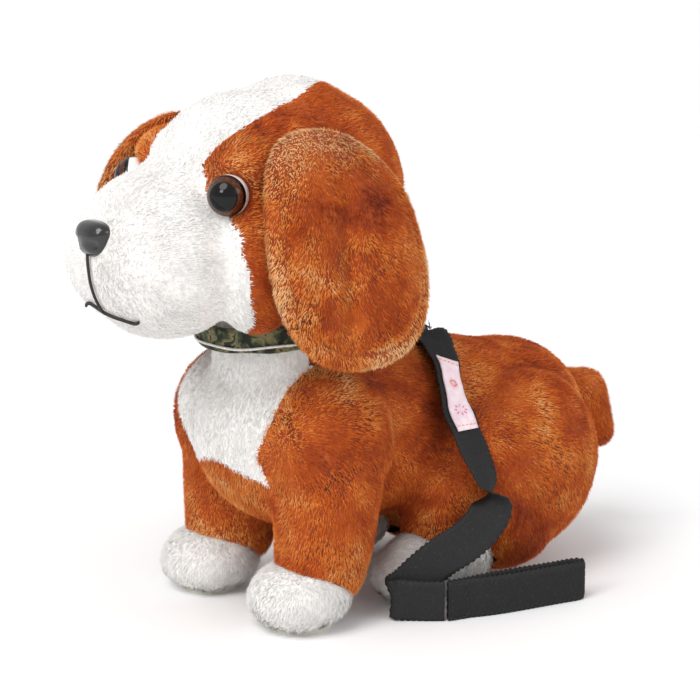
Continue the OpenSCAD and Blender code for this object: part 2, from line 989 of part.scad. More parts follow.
module front_leg_left() {
    color(brown)
        difference() {
            union() {
                intersection() {
                    translate([39, front_hip[1], front_hip[2]])
                        rotate([0, 90, 0])
                            spheroid(shoulder_r, 26);
                    block([leg_face, -100, 40], [80, 0, 140]);
                }
                difference() {
                    pill([39, -44, 62], [39, -48, 30], 27, 25);
                    block([0, -100, 44], [leg_face, 0, 140]);
                    block([0, -100, 78], [90, 0, 140]);
                }
            }
            front_paw_shape(1);
            block([0, -100, 0], [80, 0, 24]);
            frame_space(front_hip, [0, -50, 6])
                x_rod(front_hip, 20, 38, 5);
        }
}

module front_leg_right() {
    right()
        front_leg_left();
}

module front_paw(side) {
    color(white)
        difference() {
            front_paw_shape(side);
            block([-80, -100, -10], [80, 0, 0.4]);
            mirror([1 - side, 0, 0])
                frame_space(front_hip, [0, -50, 6])
                    front_paw_sole(15.1);
        }
}

module front_paw_left() {
    front_paw(1);
}

module front_paw_right() {
    front_paw(-1);
}

module hind_leg_left() {
    color(brown)
        difference() {
            union() {
                intersection() {
                    translate([36, hind_hip[1], hind_hip[2]])
                        rotate([0, 90, 0])
                            spheroid(knee_r, 28);
                    block([leg_face, -20, 30], [80, 80, 120]);
                }
                difference() {
                    pill([40, 26, 52], [40, 22, 26], 24, 20);
                    block([0, -20, 44], [leg_face, 80, 120]);
                }
            }
            hind_foot_shape(1);
            block([0, -100, 0], [80, 80, 16]);
            frame_space(hind_hip, [0, 20, 6])
                x_rod(hind_hip, 20, 38, 5);
        }
}

module hind_leg_right() {
    right()
        hind_leg_left();
}

module hind_foot(side) {
    color(white)
        difference() {
            hind_foot_shape(side);
            block([-80, -40, -10], [80, 80, 0.4]);
            mirror([1 - side, 0, 0])
                frame_space(hind_hip, [0, 20, 6])
                    hind_sole();
        }
}

module hind_foot_left() {
    hind_foot(1);
}

module hind_foot_right() {
    hind_foot(-1);
}

// ---- Tail ----

// Slides along the case to turn the tail. Its yoke stands round the cam of the crankshaft.
module tail_push_rod() {
    x0 = -12;
    color("#5d6268") {
        block([x0, crank[1] - 12, 84.5], [x0 + 3, tail_hinge[1] + 1.5, 88.4]);
        difference() {
            block([x0, crank[1] - 12, 58], [x0 + 3, crank[1] + 12, 84.5]);
            block([x0 - 1, crank[1] - 10, 60], [x0 + 4, crank[1] + 10, 76.5]);
            block([x0 - 1, crank[1] + 9, crank[2] - 1.6], [x0 + 4, crank[1] + 13, crank[2] + 1.6]);
        }
        translate([-tail_throw, tail_hinge[1], 88.4])
            cylinder(r = 1.2, h = 5);
    }
}

module tail_arm() {
    z0 = 83.2;
    color(grey_plastic)
        difference() {
            union() {
                translate([0, tail_hinge[1], z0])
                    cylinder(r = 4, h = 9.6);
                block([-2.5, tail_hinge[1], 83.4], [2.5, tail_top[1] + 3, 87.4]);
                block([-tail_throw - 3.6, tail_hinge[1] - 3, 89.2], [0, tail_hinge[1] + 3, z0 + 9.6]);
            }
            translate([0, tail_hinge[1], 80])
                cylinder(r = 1.5 + fit, h = 20);
            hull()
                for (x = [-0.6, 0.6])
                    translate([-tail_throw + x, tail_hinge[1], 80])
                        cylinder(r = 1.35, h = 20);
        }
}

module tail_plush() {
    color(brown)
        difference() {
            pill(tail_top, tail_tip, 12.5, 11);
            block([-2.6, tail_hinge[1], 83.3], [2.6, tail_top[1] + 3.1, 87.5]);
        }
}

// ---- Lead ----

// Where the lead is sewn into the back, with +X across the webbing
module anchor_place() {
    translate(route[0] - [3, 0.5, 2.2])
        rotate([0, 12, -53])
            children();
}

module lead_anchor() {
    color(black)
        anchor_place()
            translate([-web_w / 2 - 0.5, -2.5, -1.2])
                cube([web_w + 1, 4, 3]);
}

module lead_strap() {
    color(black)
        band(route, across, web_w, web_t, 0, len(route) - 1);
}

// The hand loop stands on its edge: two layers of webbing, sewn together at the near end
module lead_handle() {
    bend = 2.2;
    color(black)
        translate(handle_at)
            rotate(handle_turn) {
                linear_extrude(web_w)
                    difference() {
                        hull() {
                            translate([0, 14])
                                circle(r = bend + web_t);
                            translate([0, loop_l - bend - web_t])
                                circle(r = bend + web_t);
                        }
                        hull() {
                            translate([0, 14])
                                circle(r = bend);
                            translate([0, loop_l - bend - web_t])
                                circle(r = bend);
                        }
                    }
                block([-2.4, 0, 0], [2.4, 11, web_w]);
            }
}

module lead_label() {
    color("#f3dbe3")
        band(route, across, 14, 0.4, 3, 6, web_t / 2 + 1.3);
}

translate(stand) body_plush();
translate(stand) chest_bib();
translate(stand) neck_plush();
translate(stand) haunches();
translate(stand) head_plush();
translate(stand) head_blaze();
translate(stand) muzzle_plush();
translate(stand) head_stuffing();
translate(stand) ear_left();
translate(stand) ear_right();
translate(stand) collar();
translate(stand) collar_cord();
translate(stand) nose();
translate(stand) eye_left();
translate(stand) eye_right();
translate(stand) eye_irises();
translate(stand) eye_washers();
translate(stand) mouth_stitching();
translate(stand) chassis_tray();
translate(stand) chassis_cover();
translate(stand) chassis_screws();
translate(stand) battery_door();
translate(stand) battery_door_screw();
translate(stand) batteries();
translate(stand) battery_contacts();
translate(stand) circuit_board();
translate(stand) speaker();
translate(stand) switch_body();
translate(stand) switch_knob();
translate(stand) wires();
translate(stand) motor();
translate(stand) motor_pinion();
translate(stand) first_gear();
translate(stand) second_gear();
translate(stand) gear_axles();
translate(stand) output_gear();
translate(stand) crankshaft();
translate(stand) leg_axles();
translate(stand) axle_caps();
translate(stand) front_frame_left();
translate(stand) front_frame_right();
translate(stand) hind_frame_left();
translate(stand) hind_frame_right();
translate(stand) link_rod_left();
translate(stand) link_rod_right();
translate(stand) tail_push_rod();
translate(stand) tail_arm();
translate(stand) tail_plush();
translate(stand) front_leg_left();
translate(stand) front_leg_right();
translate(stand) front_paw_left();
translate(stand) front_paw_right();
translate(stand) hind_leg_left();
translate(stand) hind_leg_right();
translate(stand) hind_foot_left();
translate(stand) hind_foot_right();
translate(stand) lead_anchor();
translate(stand) lead_strap();
translate(stand) lead_handle();
translate(stand) lead_label();
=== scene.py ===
import math

import bpy
import numpy as np
from mathutils import Matrix, Vector
from mathutils.bvhtree import BVHTree


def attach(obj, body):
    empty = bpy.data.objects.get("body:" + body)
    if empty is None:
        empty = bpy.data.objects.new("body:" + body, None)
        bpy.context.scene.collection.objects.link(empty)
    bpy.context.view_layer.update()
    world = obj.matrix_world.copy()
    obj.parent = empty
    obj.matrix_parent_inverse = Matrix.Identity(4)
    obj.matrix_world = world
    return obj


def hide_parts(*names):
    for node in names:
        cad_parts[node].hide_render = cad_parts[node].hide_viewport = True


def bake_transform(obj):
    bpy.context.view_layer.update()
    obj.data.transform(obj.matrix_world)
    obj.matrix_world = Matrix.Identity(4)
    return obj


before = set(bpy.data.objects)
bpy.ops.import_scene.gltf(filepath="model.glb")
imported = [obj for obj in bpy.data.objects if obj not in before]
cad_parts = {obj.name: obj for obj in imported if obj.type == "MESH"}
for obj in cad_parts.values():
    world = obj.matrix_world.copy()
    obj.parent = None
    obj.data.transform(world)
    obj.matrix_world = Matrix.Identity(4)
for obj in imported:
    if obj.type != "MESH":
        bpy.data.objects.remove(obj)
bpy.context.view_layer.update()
RNG = np.random.default_rng(7)
STAND = np.array([0.0, -11.0, 0.0])     # the dog stands this much forward of the drawing's own zero, in mm


def mm(*p):
    """A point or a list of points of the drawing, in mm, to metres in the row frame."""
    p = np.array(p if len(p) > 1 else p[0], float)
    return (p + STAND) / 1000.0


def unit(v):
    v = np.asarray(v, float)
    return v / np.maximum(np.linalg.norm(v, axis=-1, keepdims=True), 1e-12)


# ---- camera
AZIMUTH, ELEVATION, DISTANCE, LENS = 53.4, 11.9, 1.1, 113.5
TARGET = Vector((0.0, -0.0123, 0.1212))
a, e = math.radians(AZIMUTH), math.radians(ELEVATION)
back = Vector((math.sin(a) * math.cos(e), -math.cos(a) * math.cos(e), math.sin(e)))
camera = bpy.data.objects.new("camera", bpy.data.cameras.new("camera"))
camera.data.lens = LENS
camera.data.sensor_width = 36.0
camera.data.clip_end = 50
camera.location = TARGET + back * DISTANCE
camera.rotation_euler = (-back).to_track_quat("-Z", "Y").to_euler()
bpy.context.scene.collection.objects.link(camera)
bpy.context.scene.camera = camera


# ---- colours and materials
def linear(r, g, b):
    """8-bit sRGB to the linear colour that a shader socket takes."""
    return tuple((c / 255 / 12.92) if c <= 10 else ((c / 255 + 0.055) / 1.055) ** 2.4
                 for c in (r, g, b)) + (1.0,)


class Mat:
    """A Principled material with a few chained procedural nodes."""

    def __init__(self, name, colour, rough=0.6, **sockets):
        self.m = bpy.data.materials.new(name)
        self.m.use_nodes = True
        self.t = self.m.node_tree
        self.bsdf = self.t.nodes["Principled BSDF"]
        self.bsdf.inputs["Base Color"].default_value = linear(*colour)
        self.bsdf.inputs["Roughness"].default_value = rough
        for k, v in sockets.items():
            self.bsdf.inputs[k.replace("_", " ")].default_value = v

    def node(self, kind):
        return self.t.nodes.new(kind)

    def link(self, a, b):
        self.t.links.new(a, b)

    def coords(self, scale):
        tc = self.node("ShaderNodeTexCoord")
        mp = self.node("ShaderNodeMapping")
        mp.inputs["Scale"].default_value = scale
        self.link(tc.outputs["Object"], mp.inputs["Vector"])
        return mp.outputs["Vector"]

    def noise(self, scale, detail=3, rough=0.5, stretch=(1, 1, 1), distortion=0.0):
        n = self.node("ShaderNodeTexNoise")
        n.inputs["Scale"].default_value = scale
        n.inputs["Detail"].default_value = detail
        n.inputs["Roughness"].default_value = rough
        n.inputs["Distortion"].default_value = distortion
        self.link(self.coords(stretch), n.inputs["Vector"])
        return n.outputs["Fac"]

    def ramp(self, fac, stops, mode="LINEAR"):
        r = self.node("ShaderNodeValToRGB")
        r.color_ramp.interpolation = mode
        el = r.color_ramp.elements
        while len(el) < len(stops):
            el.new(0.5)
        for s, (p, c) in zip(el, stops):
            s.position = p
            s.color = linear(*c)
        self.link(fac, r.inputs["Fac"])
        return r.outputs["Color"]

    def colour(self, out):
        self.link(out, self.bsdf.inputs["Base Color"])
        return self

    def rough_from(self, fac, low, high):
        r = self.node("ShaderNodeMapRange")
        r.inputs["To Min"].default_value = low
        r.inputs["To Max"].default_value = high
        self.link(fac, r.inputs["Value"])
        self.link(r.outputs["Result"], self.bsdf.inputs["Roughness"])
        return self

    def bump(self, fac, strength, distance):
        b = self.node("ShaderNodeBump")
        b.inputs["Strength"].default_value = strength
        b.inputs["Distance"].default_value = distance
        self.link(fac, b.inputs["Height"])
        prev = self.bsdf.inputs["Normal"]
        if prev.is_linked:
            self.link(prev.links[0].from_socket, b.inputs["Normal"])
        self.link(b.outputs["Normal"], prev)
        return self


def speckled(name, colour, rough, grain, stops, bump=None, **sockets):
    """A material whose colour follows a noise. grain and bump start with the arguments of their noise."""
    m = Mat(name, colour, rough, **sockets)
    m.colour(m.ramp(m.noise(*grain), stops))
    if bump:
        m.bump(m.noise(*bump[0]), *bump[1:])
    return m


def moulded(name, colour, rough=0.45, spread=0.9, grain=900):
    """Moulded or painted plastic: faint colour drift, fine grain."""
    m = Mat(name, colour, rough)
    dark = tuple(int(c * spread) for c in colour)
    m.colour(m.ramp(m.noise(40, 4), [(0.3, dark), (0.7, colour)]))
    m.rough_from(m.noise(120, 2), rough - 0.08, rough + 0.08)
    m.bump(m.noise(grain, 2), 0.12, 0.0002)
    return m.m


def metal(name, colour, rough=0.3):
    """Drawn or turned metal, with its marks along Z."""
    stretch = (1, 1, 12)
    m = Mat(name, colour, rough, Metallic=1.0)
    dark = tuple(int(c * 0.82) for c in colour)
    m.colour(m.ramp(m.noise(60, 4, stretch=stretch), [(0.3, dark), (0.7, colour)]))
    m.rough_from(m.noise(300, 2, stretch=stretch), rough - 0.08, rough + 0.12)
    return m.m


# Tones of the pile, dark to light, and of the cloth that shows between the tufts
# the golden end of the brown tones is painted sheen and the darkest end painted shade, as the pile would
# catch light or fall dark
BROWN = [(92, 26, 4), (136, 46, 8), (172, 68, 14), (200, 92, 26), (220, 122, 48), (232, 152, 84),
         (240, 182, 126)]
WHITE = [(226, 222, 219), (240, 237, 233), (250, 248, 245), (255, 254, 252)]


def pile_material(name, colour, sheen):
    m = Mat(name, colour, 0.85, Sheen_Weight=sheen, Sheen_Roughness=0.4)
    m.bsdf.inputs["Specular IOR Level"].default_value = 0.25
    m.bsdf.inputs["Sheen Tint"].default_value = linear(*[min(255, c + 60) for c in colour])
    return m.m


BROWN_MATS = [pile_material("pile_brown_%d" % i, c, 0.25) for i, c in enumerate(BROWN)]
WHITE_MATS = [pile_material("pile_white_%d" % i, c, 0.1) for i, c in enumerate(WHITE)]


def backing(name, dark, mid, light):
    """The knitted cloth under the pile: blotches of tone and short lying fibres."""
    m = Mat(name, mid, 0.95)
    m.colour(m.ramp(m.noise(45, 6, 0.65, distortion=0.4), [(0.32, dark), (0.5, mid), (0.7, light)]))
    m.bump(m.noise(420, 3, 0.6, stretch=(1, 1, 0.35)), 0.6, 0.0012)
    return m.m


BROWN_CLOTH = backing("brown_cloth", (96, 32, 8), (150, 60, 16), (184, 88, 30))
WHITE_CLOTH = backing("white_cloth", (214, 210, 206), (236, 232, 228), (248, 246, 243))


# ---- smooth noise for numpy
def vnoise(p, scale, seed=0):
    """Smooth value noise in -1..1 at points p, with features of about scale metres."""
    q = np.asarray(p, float) / scale + 100.0
    i = np.floor(q).astype(np.int64)
    f = q - i
    f = f * f * (3 - 2 * f)
    total = 0.0
    for corner in np.ndindex(2, 2, 2):
        h, weight = seed * 2654435761, 1.0
        for axis, prime in enumerate((73856093, 19349663, 83492791)):
            h = h ^ (i[:, axis] + corner[axis]) * prime
            weight = weight * (f[:, axis] if corner[axis] else 1 - f[:, axis])
        h = (h ^ (h >> 13)) * 1274126177 & 0x7FFFFFFF
        total = total + ((h % 65536) / 32768.0 - 1.0) * weight
    return total


def vnoise3(p, scale, seed):
    """Three noises side by side, as a vector for each point."""
    return np.stack([vnoise(p, scale, seed + k) for k in range(3)], 1)


# ---- meshes
def mesh_object(name, co, faces, mats=(), index=None, normals=None):
    """An object from arrays: co (n, 3) in metres, faces (m, 3) or (m, 4)."""
    me = bpy.data.meshes.new(name)
    faces = np.asarray(faces, np.int32)
    m, k = faces.shape
    me.vertices.add(len(co))
    me.vertices.foreach_set("co", np.asarray(co, np.float32).ravel())
    me.loops.add(m * k)
    me.loops.foreach_set("vertex_index", faces.ravel())
    me.polygons.add(m)
    me.polygons.foreach_set("loop_start", np.arange(0, m * k, k, dtype=np.int32))
    for mat in mats:
        me.materials.append(mat)
    if index is not None:
        me.polygons.foreach_set("material_index", np.asarray(index, np.int32))
    me.polygons.foreach_set("use_smooth", np.full(m, True))
    me.update(calc_edges=True)
    if normals is not None:
        me.normals_split_custom_set_from_vertices(np.asarray(normals, np.float32))
    ob = bpy.data.objects.new(name, me)
    bpy.context.scene.collection.objects.link(ob)
    return ob


def arrays(ob):
    """Vertices and faces of an object with its modifiers applied."""
    ev = ob.evaluated_get(bpy.context.evaluated_depsgraph_get())
    me = ev.to_mesh()
    co = np.zeros(len(me.vertices) * 3, np.float32)
    me.vertices.foreach_get("co", co)
    total = np.zeros(len(me.polygons), np.int32)
    me.polygons.foreach_get("loop_total", total)
    loops = np.zeros(len(me.loops), np.int32)
    me.loops.foreach_get("vertex_index", loops)
    ev.to_mesh_clear()
    assert (total == 4).all()
    return co.reshape(-1, 3).astype(float), loops.reshape(-1, 4)


def vertex_normals(co, faces):
    a, b, c = co[faces[:, 0]], co[faces[:, 1]], co[faces[:, 2]]
    fn = np.cross(b - a, c - a)
    if faces.shape[1] == 4:
        fn = fn + np.cross(c - a, co[faces[:, 3]] - a)
    n = np.zeros_like(co)
    for k in range(faces.shape[1]):
        np.add.at(n, faces[:, k], fn)
    return unit(n)


def tube_faces(rows, m):
    """Quads between closed rows of m points each."""
    i, j = np.meshgrid(np.arange(rows - 1), np.arange(m), indexing="ij")
    i, j = i.ravel(), j.ravel()
    k = (j + 1) % m
    return np.stack([i * m + j, i * m + k, (i + 1) * m + k, (i + 1) * m + j], 1)


def joined(parts):
    """Several meshes as one."""
    co, faces, at = [], [], 0
    for c, f in parts:
        co.append(c)
        faces.append(f + at)
        at += len(c)
    return np.concatenate(co), np.concatenate(faces)


def across_line(p, w):
    """Unit vectors across the line p toward w, and square to both."""
    tan = unit(np.gradient(p, axis=0))
    side = unit(w - tan * (w * tan).sum(1)[:, None])
    return side, np.cross(tan, side)


def revolve(profile, axis_from, axis_to, steps=28):
    """A closed surface from profile points (radius, along), turned about the line axis_from..axis_to."""
    z = unit(np.array(axis_to) - np.array(axis_from))
    x = unit(np.cross(z, [0.31, 0.57, 0.76]))
    y = np.cross(z, x)
    co = []
    for r, h in profile:
        for k in range(steps):
            t = 2 * math.pi * k / steps
            co.append(np.array(axis_from) + z * h + (x * math.cos(t) + y * math.sin(t)) * max(r, 1e-5))
    return np.array(co), tube_faces(len(profile), steps)


def ball(c, r, turn=(0, 0, 0), n=14):
    """An ellipsoid with centre c and radii r in mm, turned by degrees about X, Y and Z."""
    r = np.ones(3) * r
    prof = [(math.sin(math.pi * i / n), -math.cos(math.pi * i / n)) for i in range(n + 1)]
    co, faces = revolve(prof, (0, 0, 0), (0, 0, 1), 24)
    x, y, z = (Matrix.Rotation(math.radians(t), 3, axis) for t, axis in zip(turn, "XYZ"))
    rot = np.array(z @ y @ x)
    return (co * r) @ rot.T + np.array(c), faces


def pill(a, b, ra, rb):
    """Two balls in mm and the cone that wraps both."""
    a, b = np.array(a, float), np.array(b, float)
    l = np.linalg.norm(b - a)
    tilt = math.asin((ra - rb) / l)
    near = [(ra * math.cos(t), ra * math.sin(t)) for t in np.linspace(-math.pi / 2, tilt, 10)]
    far = [(rb * math.cos(t), l + rb * math.sin(t)) for t in np.linspace(tilt, math.pi / 2, 10)]
    return revolve(near + far, a, b)


def both(parts):
    """The parts, and the same parts on the right side."""
    out = []
    for co, faces in parts:
        out += [(co, faces), (co * [-1, 1, 1], faces[:, ::-1])]
    return out


def melt(parts, voxel, rounds):
    """Joins overlapping closed parts, in mm, into one smooth closed skin, in metres."""
    co, faces = joined(parts)
    tmp = mesh_object("tmp", mm(co), faces)
    rm = tmp.modifiers.new("r", "REMESH")
    rm.mode = "VOXEL"
    rm.voxel_size = voxel / 1000
    sm = tmp.modifiers.new("s", "SMOOTH")
    sm.factor = 0.5
    sm.iterations = rounds
    c, f = arrays(tmp)
    bpy.data.objects.remove(tmp)
    return c, f


def part_of(co, faces, normals, keep):
    """The faces where keep is true, as their own arrays."""
    f = faces[keep]
    used = np.unique(f)
    new = np.zeros(len(co), np.int64)
    new[used] = np.arange(len(used))
    return co[used], new[f], normals[used]


def triangles(faces):
    return faces if faces.shape[1] == 3 else np.concatenate([faces[:, [0, 1, 2]], faces[:, [0, 2, 3]]])


JITTER = 0.22               # how far each tuft strays from the way the pile lies
TUFTS_TO_A_MESH = 48000     # the most tufts in one mesh; a mesh of more would be thinned when it is exported
OVER_FLOOR = 0.0002         # nothing comes closer to the floor than this, in metres


def tufts(name, co, faces, normals, per_cm2, length, width, lift, flow, tone, mats, skip=None):
    """Pile as closed thin spikes on a skin. flow(p, n) is the way it lies, tone(p, n) picks its material."""
    tri = triangles(faces)
    a, b, c = co[tri[:, 0]], co[tri[:, 1]], co[tri[:, 2]]
    area = np.linalg.norm(np.cross(b - a, c - a), axis=1) / 2
    count = int(area.sum() * 1e4 * per_cm2)
    pick = np.searchsorted(np.cumsum(area) / area.sum(), RNG.random(count))
    pick = np.minimum(pick, len(tri) - 1)
    u, v = RNG.random(count), RNG.random(count)
    over = u + v > 1
    u[over], v[over] = 1 - u[over], 1 - v[over]
    w = 1 - u - v

    def at_roots(values):
        return (values[tri[pick, 0]] * w[:, None] + values[tri[pick, 1]] * u[:, None]
                + values[tri[pick, 2]] * v[:, None])

    p, n = at_roots(co), unit(at_roots(normals))
    if skip is not None:
        keep = ~skip(p)
        p, n = p[keep], n[keep]
    k = len(p)
    f = flow(p, n)
    # tufts near each other lean the same way, so the pile breaks into small locks
    f = unit(f) + 0.35 * vnoise3(p, 0.005, 11) + JITTER * RNG.normal(size=(k, 3))
    f = f - n * (f * n).sum(1)[:, None]
    f = unit(f)
    rise = np.radians(lift * (1 + 0.35 * vnoise(p, 0.009, 14)) + RNG.normal(size=k) * 6)[:, None]
    d = f * np.cos(rise) + n * np.sin(rise)
    ln = (length / 1000) * (0.75 + 0.5 * RNG.random(k))[:, None] * (1 + 0.2 * vnoise(p, 0.012, 15))[:, None]
    wd = (width / 1000) * (0.7 + 0.6 * RNG.random(k))[:, None] / 2
    side = unit(np.cross(d, n))
    up = unit(np.cross(side, d))
    root = p - n * 0.0004
    tip = p + d * ln
    v0, v1, v2 = root + side * wd, root - side * wd, root + up * wd * 0.6
    out = np.stack([v0, v1, v2, tip], 1).reshape(-1, 3)
    out[:, 2] = np.maximum(out[:, 2], OVER_FLOOR)
    base = np.arange(k)[:, None] * 4
    t4 = np.array([[2, 1, 0], [1, 3, 0], [2, 3, 1], [0, 3, 2]])
    tri4 = (base[:, None, :] + t4[None]).reshape(-1, 3)
    shade = unit(n + 0.25 * up + 0.14 * RNG.normal(size=(k, 3)))
    nn = np.repeat(shade, 4, 0)
    level = np.round(tone(p, n) + RNG.normal(size=k) * 0.4)
    idx = np.repeat(np.clip(level, 0, len(mats) - 1).astype(int), 4)
    obs = []
    for s in range(0, k, TUFTS_TO_A_MESH):
        cut = slice(4 * s, 4 * min(k, s + TUFTS_TO_A_MESH))
        obs.append(mesh_object("%s_%d" % (name, len(obs) + 1), out[cut], tri4[cut] - 4 * s, mats, idx[cut],
                               nn[cut]))
    return obs


def settle(obs, body=None, bend=None):
    """Attaches each object to its body, or, when bend is given, bakes its placement into its mesh."""
    for ob in obs:
        if bend:
            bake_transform(ob)
        else:
            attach(ob, body)


FEW = 1.0
DENSE = 150 * FEW                       # tufts to a square centimetre
TUFT_W = 0.6                            # width of a tuft, in mm
SIDES = ((1, "left"), (-1, "right"))


# ---- the lead comes first
ROUTE = mm([
    [12, 36, 127.5], [19, 35, 127], [27, 33, 124], [36.5, 30.2, 117.5], [44.4, 27.1, 108.3],
    [51, 25.5, 99], [58, 25, 90], [64, 26, 80], [69, 28, 70], [73, 29.5, 60],
    [75.5, 28, 51], [75, 22, 43], [73, 13, 36.2], [68.3, 3.5, 29.8], [63.8, -5, 22.2],
    [60.6, -12, 15.4], [58.5, -16.5, 12.5], [58.5, -19.5, 11.5], [61.5, -18.5, 10.8],
    [66.4, -12.8, 10.3], [71.3, -6.6, 10], [75.5, -0.5, 10]])
ACROSS = np.array([
    [-6, 8, 1], [-6, 8, 2], [-6, 8, 2], [-6, 8, 3], [-6, 8, 4],
    [-6, 7, 6], [-6, 6, 7], [-5, 5, 7], [-5, 4, 7], [-5, 2, 8],
    [-5, -1, 8], [-5, -4, 7], [-5, -5, 6], [-5, -5, 6], [-5, -4, 7],
    [-4, -3, 8], [-3, -2, 9], [-2, -1, 9.5], [-1, 0, 10],
    [0, 0, 10], [0, 0, 10], [0, 0, 10]], float)
WEB_W, WEB_T = 0.020, 0.0016


def resample(p, w, step):
    """Points and directions along a smooth curve through p, about step apart."""
    p, w = np.asarray(p, float), unit(w)
    fine = np.linspace(0, len(p) - 1, len(p) * 40)

    def spline(q):
        out = []
        for s in fine:
            i = min(int(s), len(q) - 2)
            f = s - i
            q0, q1, q2, q3 = q[max(i - 1, 0)], q[i], q[i + 1], q[min(i + 2, len(q) - 1)]
            out.append(0.5 * ((2 * q1) + (q2 - q0) * f + (2 * q0 - 5 * q1 + 4 * q2 - q3) * f ** 2
                              + (3 * q1 - q0 - 3 * q2 + q3) * f ** 3))
        return np.array(out)

    sp, sw = spline(p), spline(w)
    length = np.concatenate([[0], np.cumsum(np.linalg.norm(np.diff(sp, axis=0), axis=1))])
    at = np.arange(0, length[-1] + 1e-9, step)
    return (np.stack([np.interp(at, length, sp[:, k]) for k in range(3)], 1),
            unit(np.stack([np.interp(at, length, sw[:, k]) for k in range(3)], 1)), length[-1])


def webbing(name, p, w, width, thick, mat):
    """Ribbed webbing swept along p: each pick of the weave is a small rib, and the edges are scalloped."""
    n = len(p)
    side, face = across_line(p, w)
    cols = 11
    xs = np.linspace(-1, 1, cols)
    ring = []
    for i in range(n):
        phase = i * math.pi / 2.5        # five rings to each rib
        edge = 1 + 0.035 * math.cos(phase)
        rib = 0.9 + 0.5 * np.cos(phase + (np.arange(cols) % 2) * math.pi)
        h = thick / 2 * np.where(np.abs(xs) > 0.95, 0.45, rib)
        up = p[i] + np.outer(xs * edge * width / 2, side[i]) + np.outer(h, face[i])
        dn = p[i] + np.outer(xs[::-1] * edge * width / 2, side[i]) - np.outer(h[::-1], face[i])
        ring.append(np.concatenate([up, dn]))
    m = 2 * cols
    co = np.concatenate(ring)
    co[:, 2] = np.maximum(co[:, 2], OVER_FLOOR)
    caps = []
    for r, flip in ((0, False), (n - 1, True)):
        for c in range(cols - 1):
            q = [r * m + c, r * m + c + 1, r * m + m - 2 - c, r * m + m - 1 - c]
            caps.append(q if flip else q[::-1])
    return mesh_object(name, co, np.concatenate([tube_faces(n, m), np.array(caps)]), [mat])


WEBBING = speckled("webbing", (22, 22, 24), 0.7, (900, 2, 0.6),
                   [(0.5, (17, 17, 19)), (0.66, (27, 27, 30)), (0.8, (58, 58, 62))],
                   ((1500, 2), 0.5, 0.0004)).m
PICK = 0.00055                          # step between two rings of the webbing

lead_p, lead_w, lead_length = resample(ROUTE, ACROSS, PICK)
lead = webbing("lead_webbing", lead_p, lead_w, WEB_W, WEB_T, WEBBING)

HANDLE_AT, HANDLE_TURN = mm(76, 1, 0), math.radians(-9)


def handle_point(x, y, z):
    c, s = math.cos(HANDLE_TURN), math.sin(HANDLE_TURN)
    return HANDLE_AT + np.array([c * x - s * y, s * x + c * y, z])


# the hand loop: two runs of webbing on edge, sewn together at the near end
loop = [handle_point(x / 1000, y / 1000, 0.0101) for x, y in
        [(0.9, 0), (0.95, 4), (1.0, 8), (1.4, 13), (2.6, 20), (3.4, 30), (3.5, 42), (3.3, 54), (3.2, 64),
         (3.3, 70), (3.0, 74), (1.9, 76.6), (0, 77.4), (-1.9, 76.6), (-3.0, 74), (-3.2, 70), (-2.9, 64),
         (-2.8, 54), (-2.9, 42), (-2.7, 30), (-2.2, 20), (-1.4, 13), (-0.95, 8), (-0.9, 4), (-0.9, 0)]]
loop_p, loop_w, _ = resample(loop, np.tile([0.0, 0, 1], (len(loop), 1)), PICK)
handle = webbing("lead_hand_loop", loop_p, loop_w, WEB_W * 0.99, WEB_T, WEBBING)

# stitching across the overlap of the hand loop
STITCH = speckled("black_stitches", (12, 12, 13), 0.5, (2500, 2),
                  [(0.4, (10, 10, 11)), (0.7, (44, 44, 46))]).m


def beads(name, spans, r, mat):
    """Many short stitches: each is a closed tapered rod from a to b."""
    rods = []
    for s, t in spans:
        far = np.linalg.norm(np.array(t) - s)
        prof = [(0, 0)] + [(r * math.sin(math.pi * k / 6), far * k / 6) for k in range(1, 6)] + [(0, far)]
        rods.append(revolve(prof, s, t, 8))
    return mesh_object(name, *joined(rods), [mat])


SEAM_X = 0.0019             # the sewn end's faces stand this far from its middle
spans = []
for y0 in (0.0012, 0.0096):
    for k in range(7):
        z0 = 0.0016 + k * 0.0025
        for x0 in (-SEAM_X, SEAM_X):
            spans.append((handle_point(x0, y0, z0), handle_point(x0, y0, z0 + 0.0019)))
for k in range(3):
    y0 = (1.6 + k * 2.7) / 1000
    for z0 in (0.0014, 0.0182):
        for x0 in (-SEAM_X, SEAM_X):
            spans.append((handle_point(x0, y0, z0), handle_point(x0, y0 + 0.0021, z0)))
handle_stitches = beads("lead_stitches", spans, 0.00035, STITCH)

# frayed threads where the lead leaves the pile of the back
frays = []
for k in range(26):
    t = RNG.random() * 2 - 1
    s = lead_p[6] + lead_w[6] * t * 0.0095
    d = unit(np.array([-0.7, 0.1, 0.5]) + RNG.normal(size=3) * 0.5)
    frays.append((s, s + d * (0.002 + 0.004 * RNG.random())))
lead_frays = beads("lead_frays", frays, 0.0002, STITCH)

# label: a ribbon sewn flat on the webbing, with a woven flower, a ring above it and bars at its ends
LABEL = speckled("label_ribbon", (250, 228, 236), 0.55, (260, 3),
                 [(0.35, (243, 214, 226)), (0.65, (252, 235, 241))],
                 ((1600, 2), 0.3, 0.0003), Sheen_Weight=0.2).m
PINK = speckled("label_pink_thread", (236, 120, 160), 0.5, (900, 2),
                [(0.35, (226, 98, 146)), (0.65, (244, 150, 182))]).m
PEACH = speckled("label_orange_thread", (244, 168, 112), 0.5, (900, 2),
                 [(0.35, (238, 150, 92)), (0.65, (250, 190, 140))]).m


def nearest(point):
    """Which point of the lead's line lies nearest."""
    return np.linalg.norm(lead_p - point, axis=1).argmin()


on = slice(nearest(ROUTE[3]) - 2, nearest(ROUTE[6]) + 6)
lab_p, lab_w = lead_p[on], lead_w[on]
lab_s, lab_n = across_line(lab_p, lab_w)
if lab_n[:, 0].mean() < 0:
    lab_n = -lab_n
LABEL_W = 0.0145


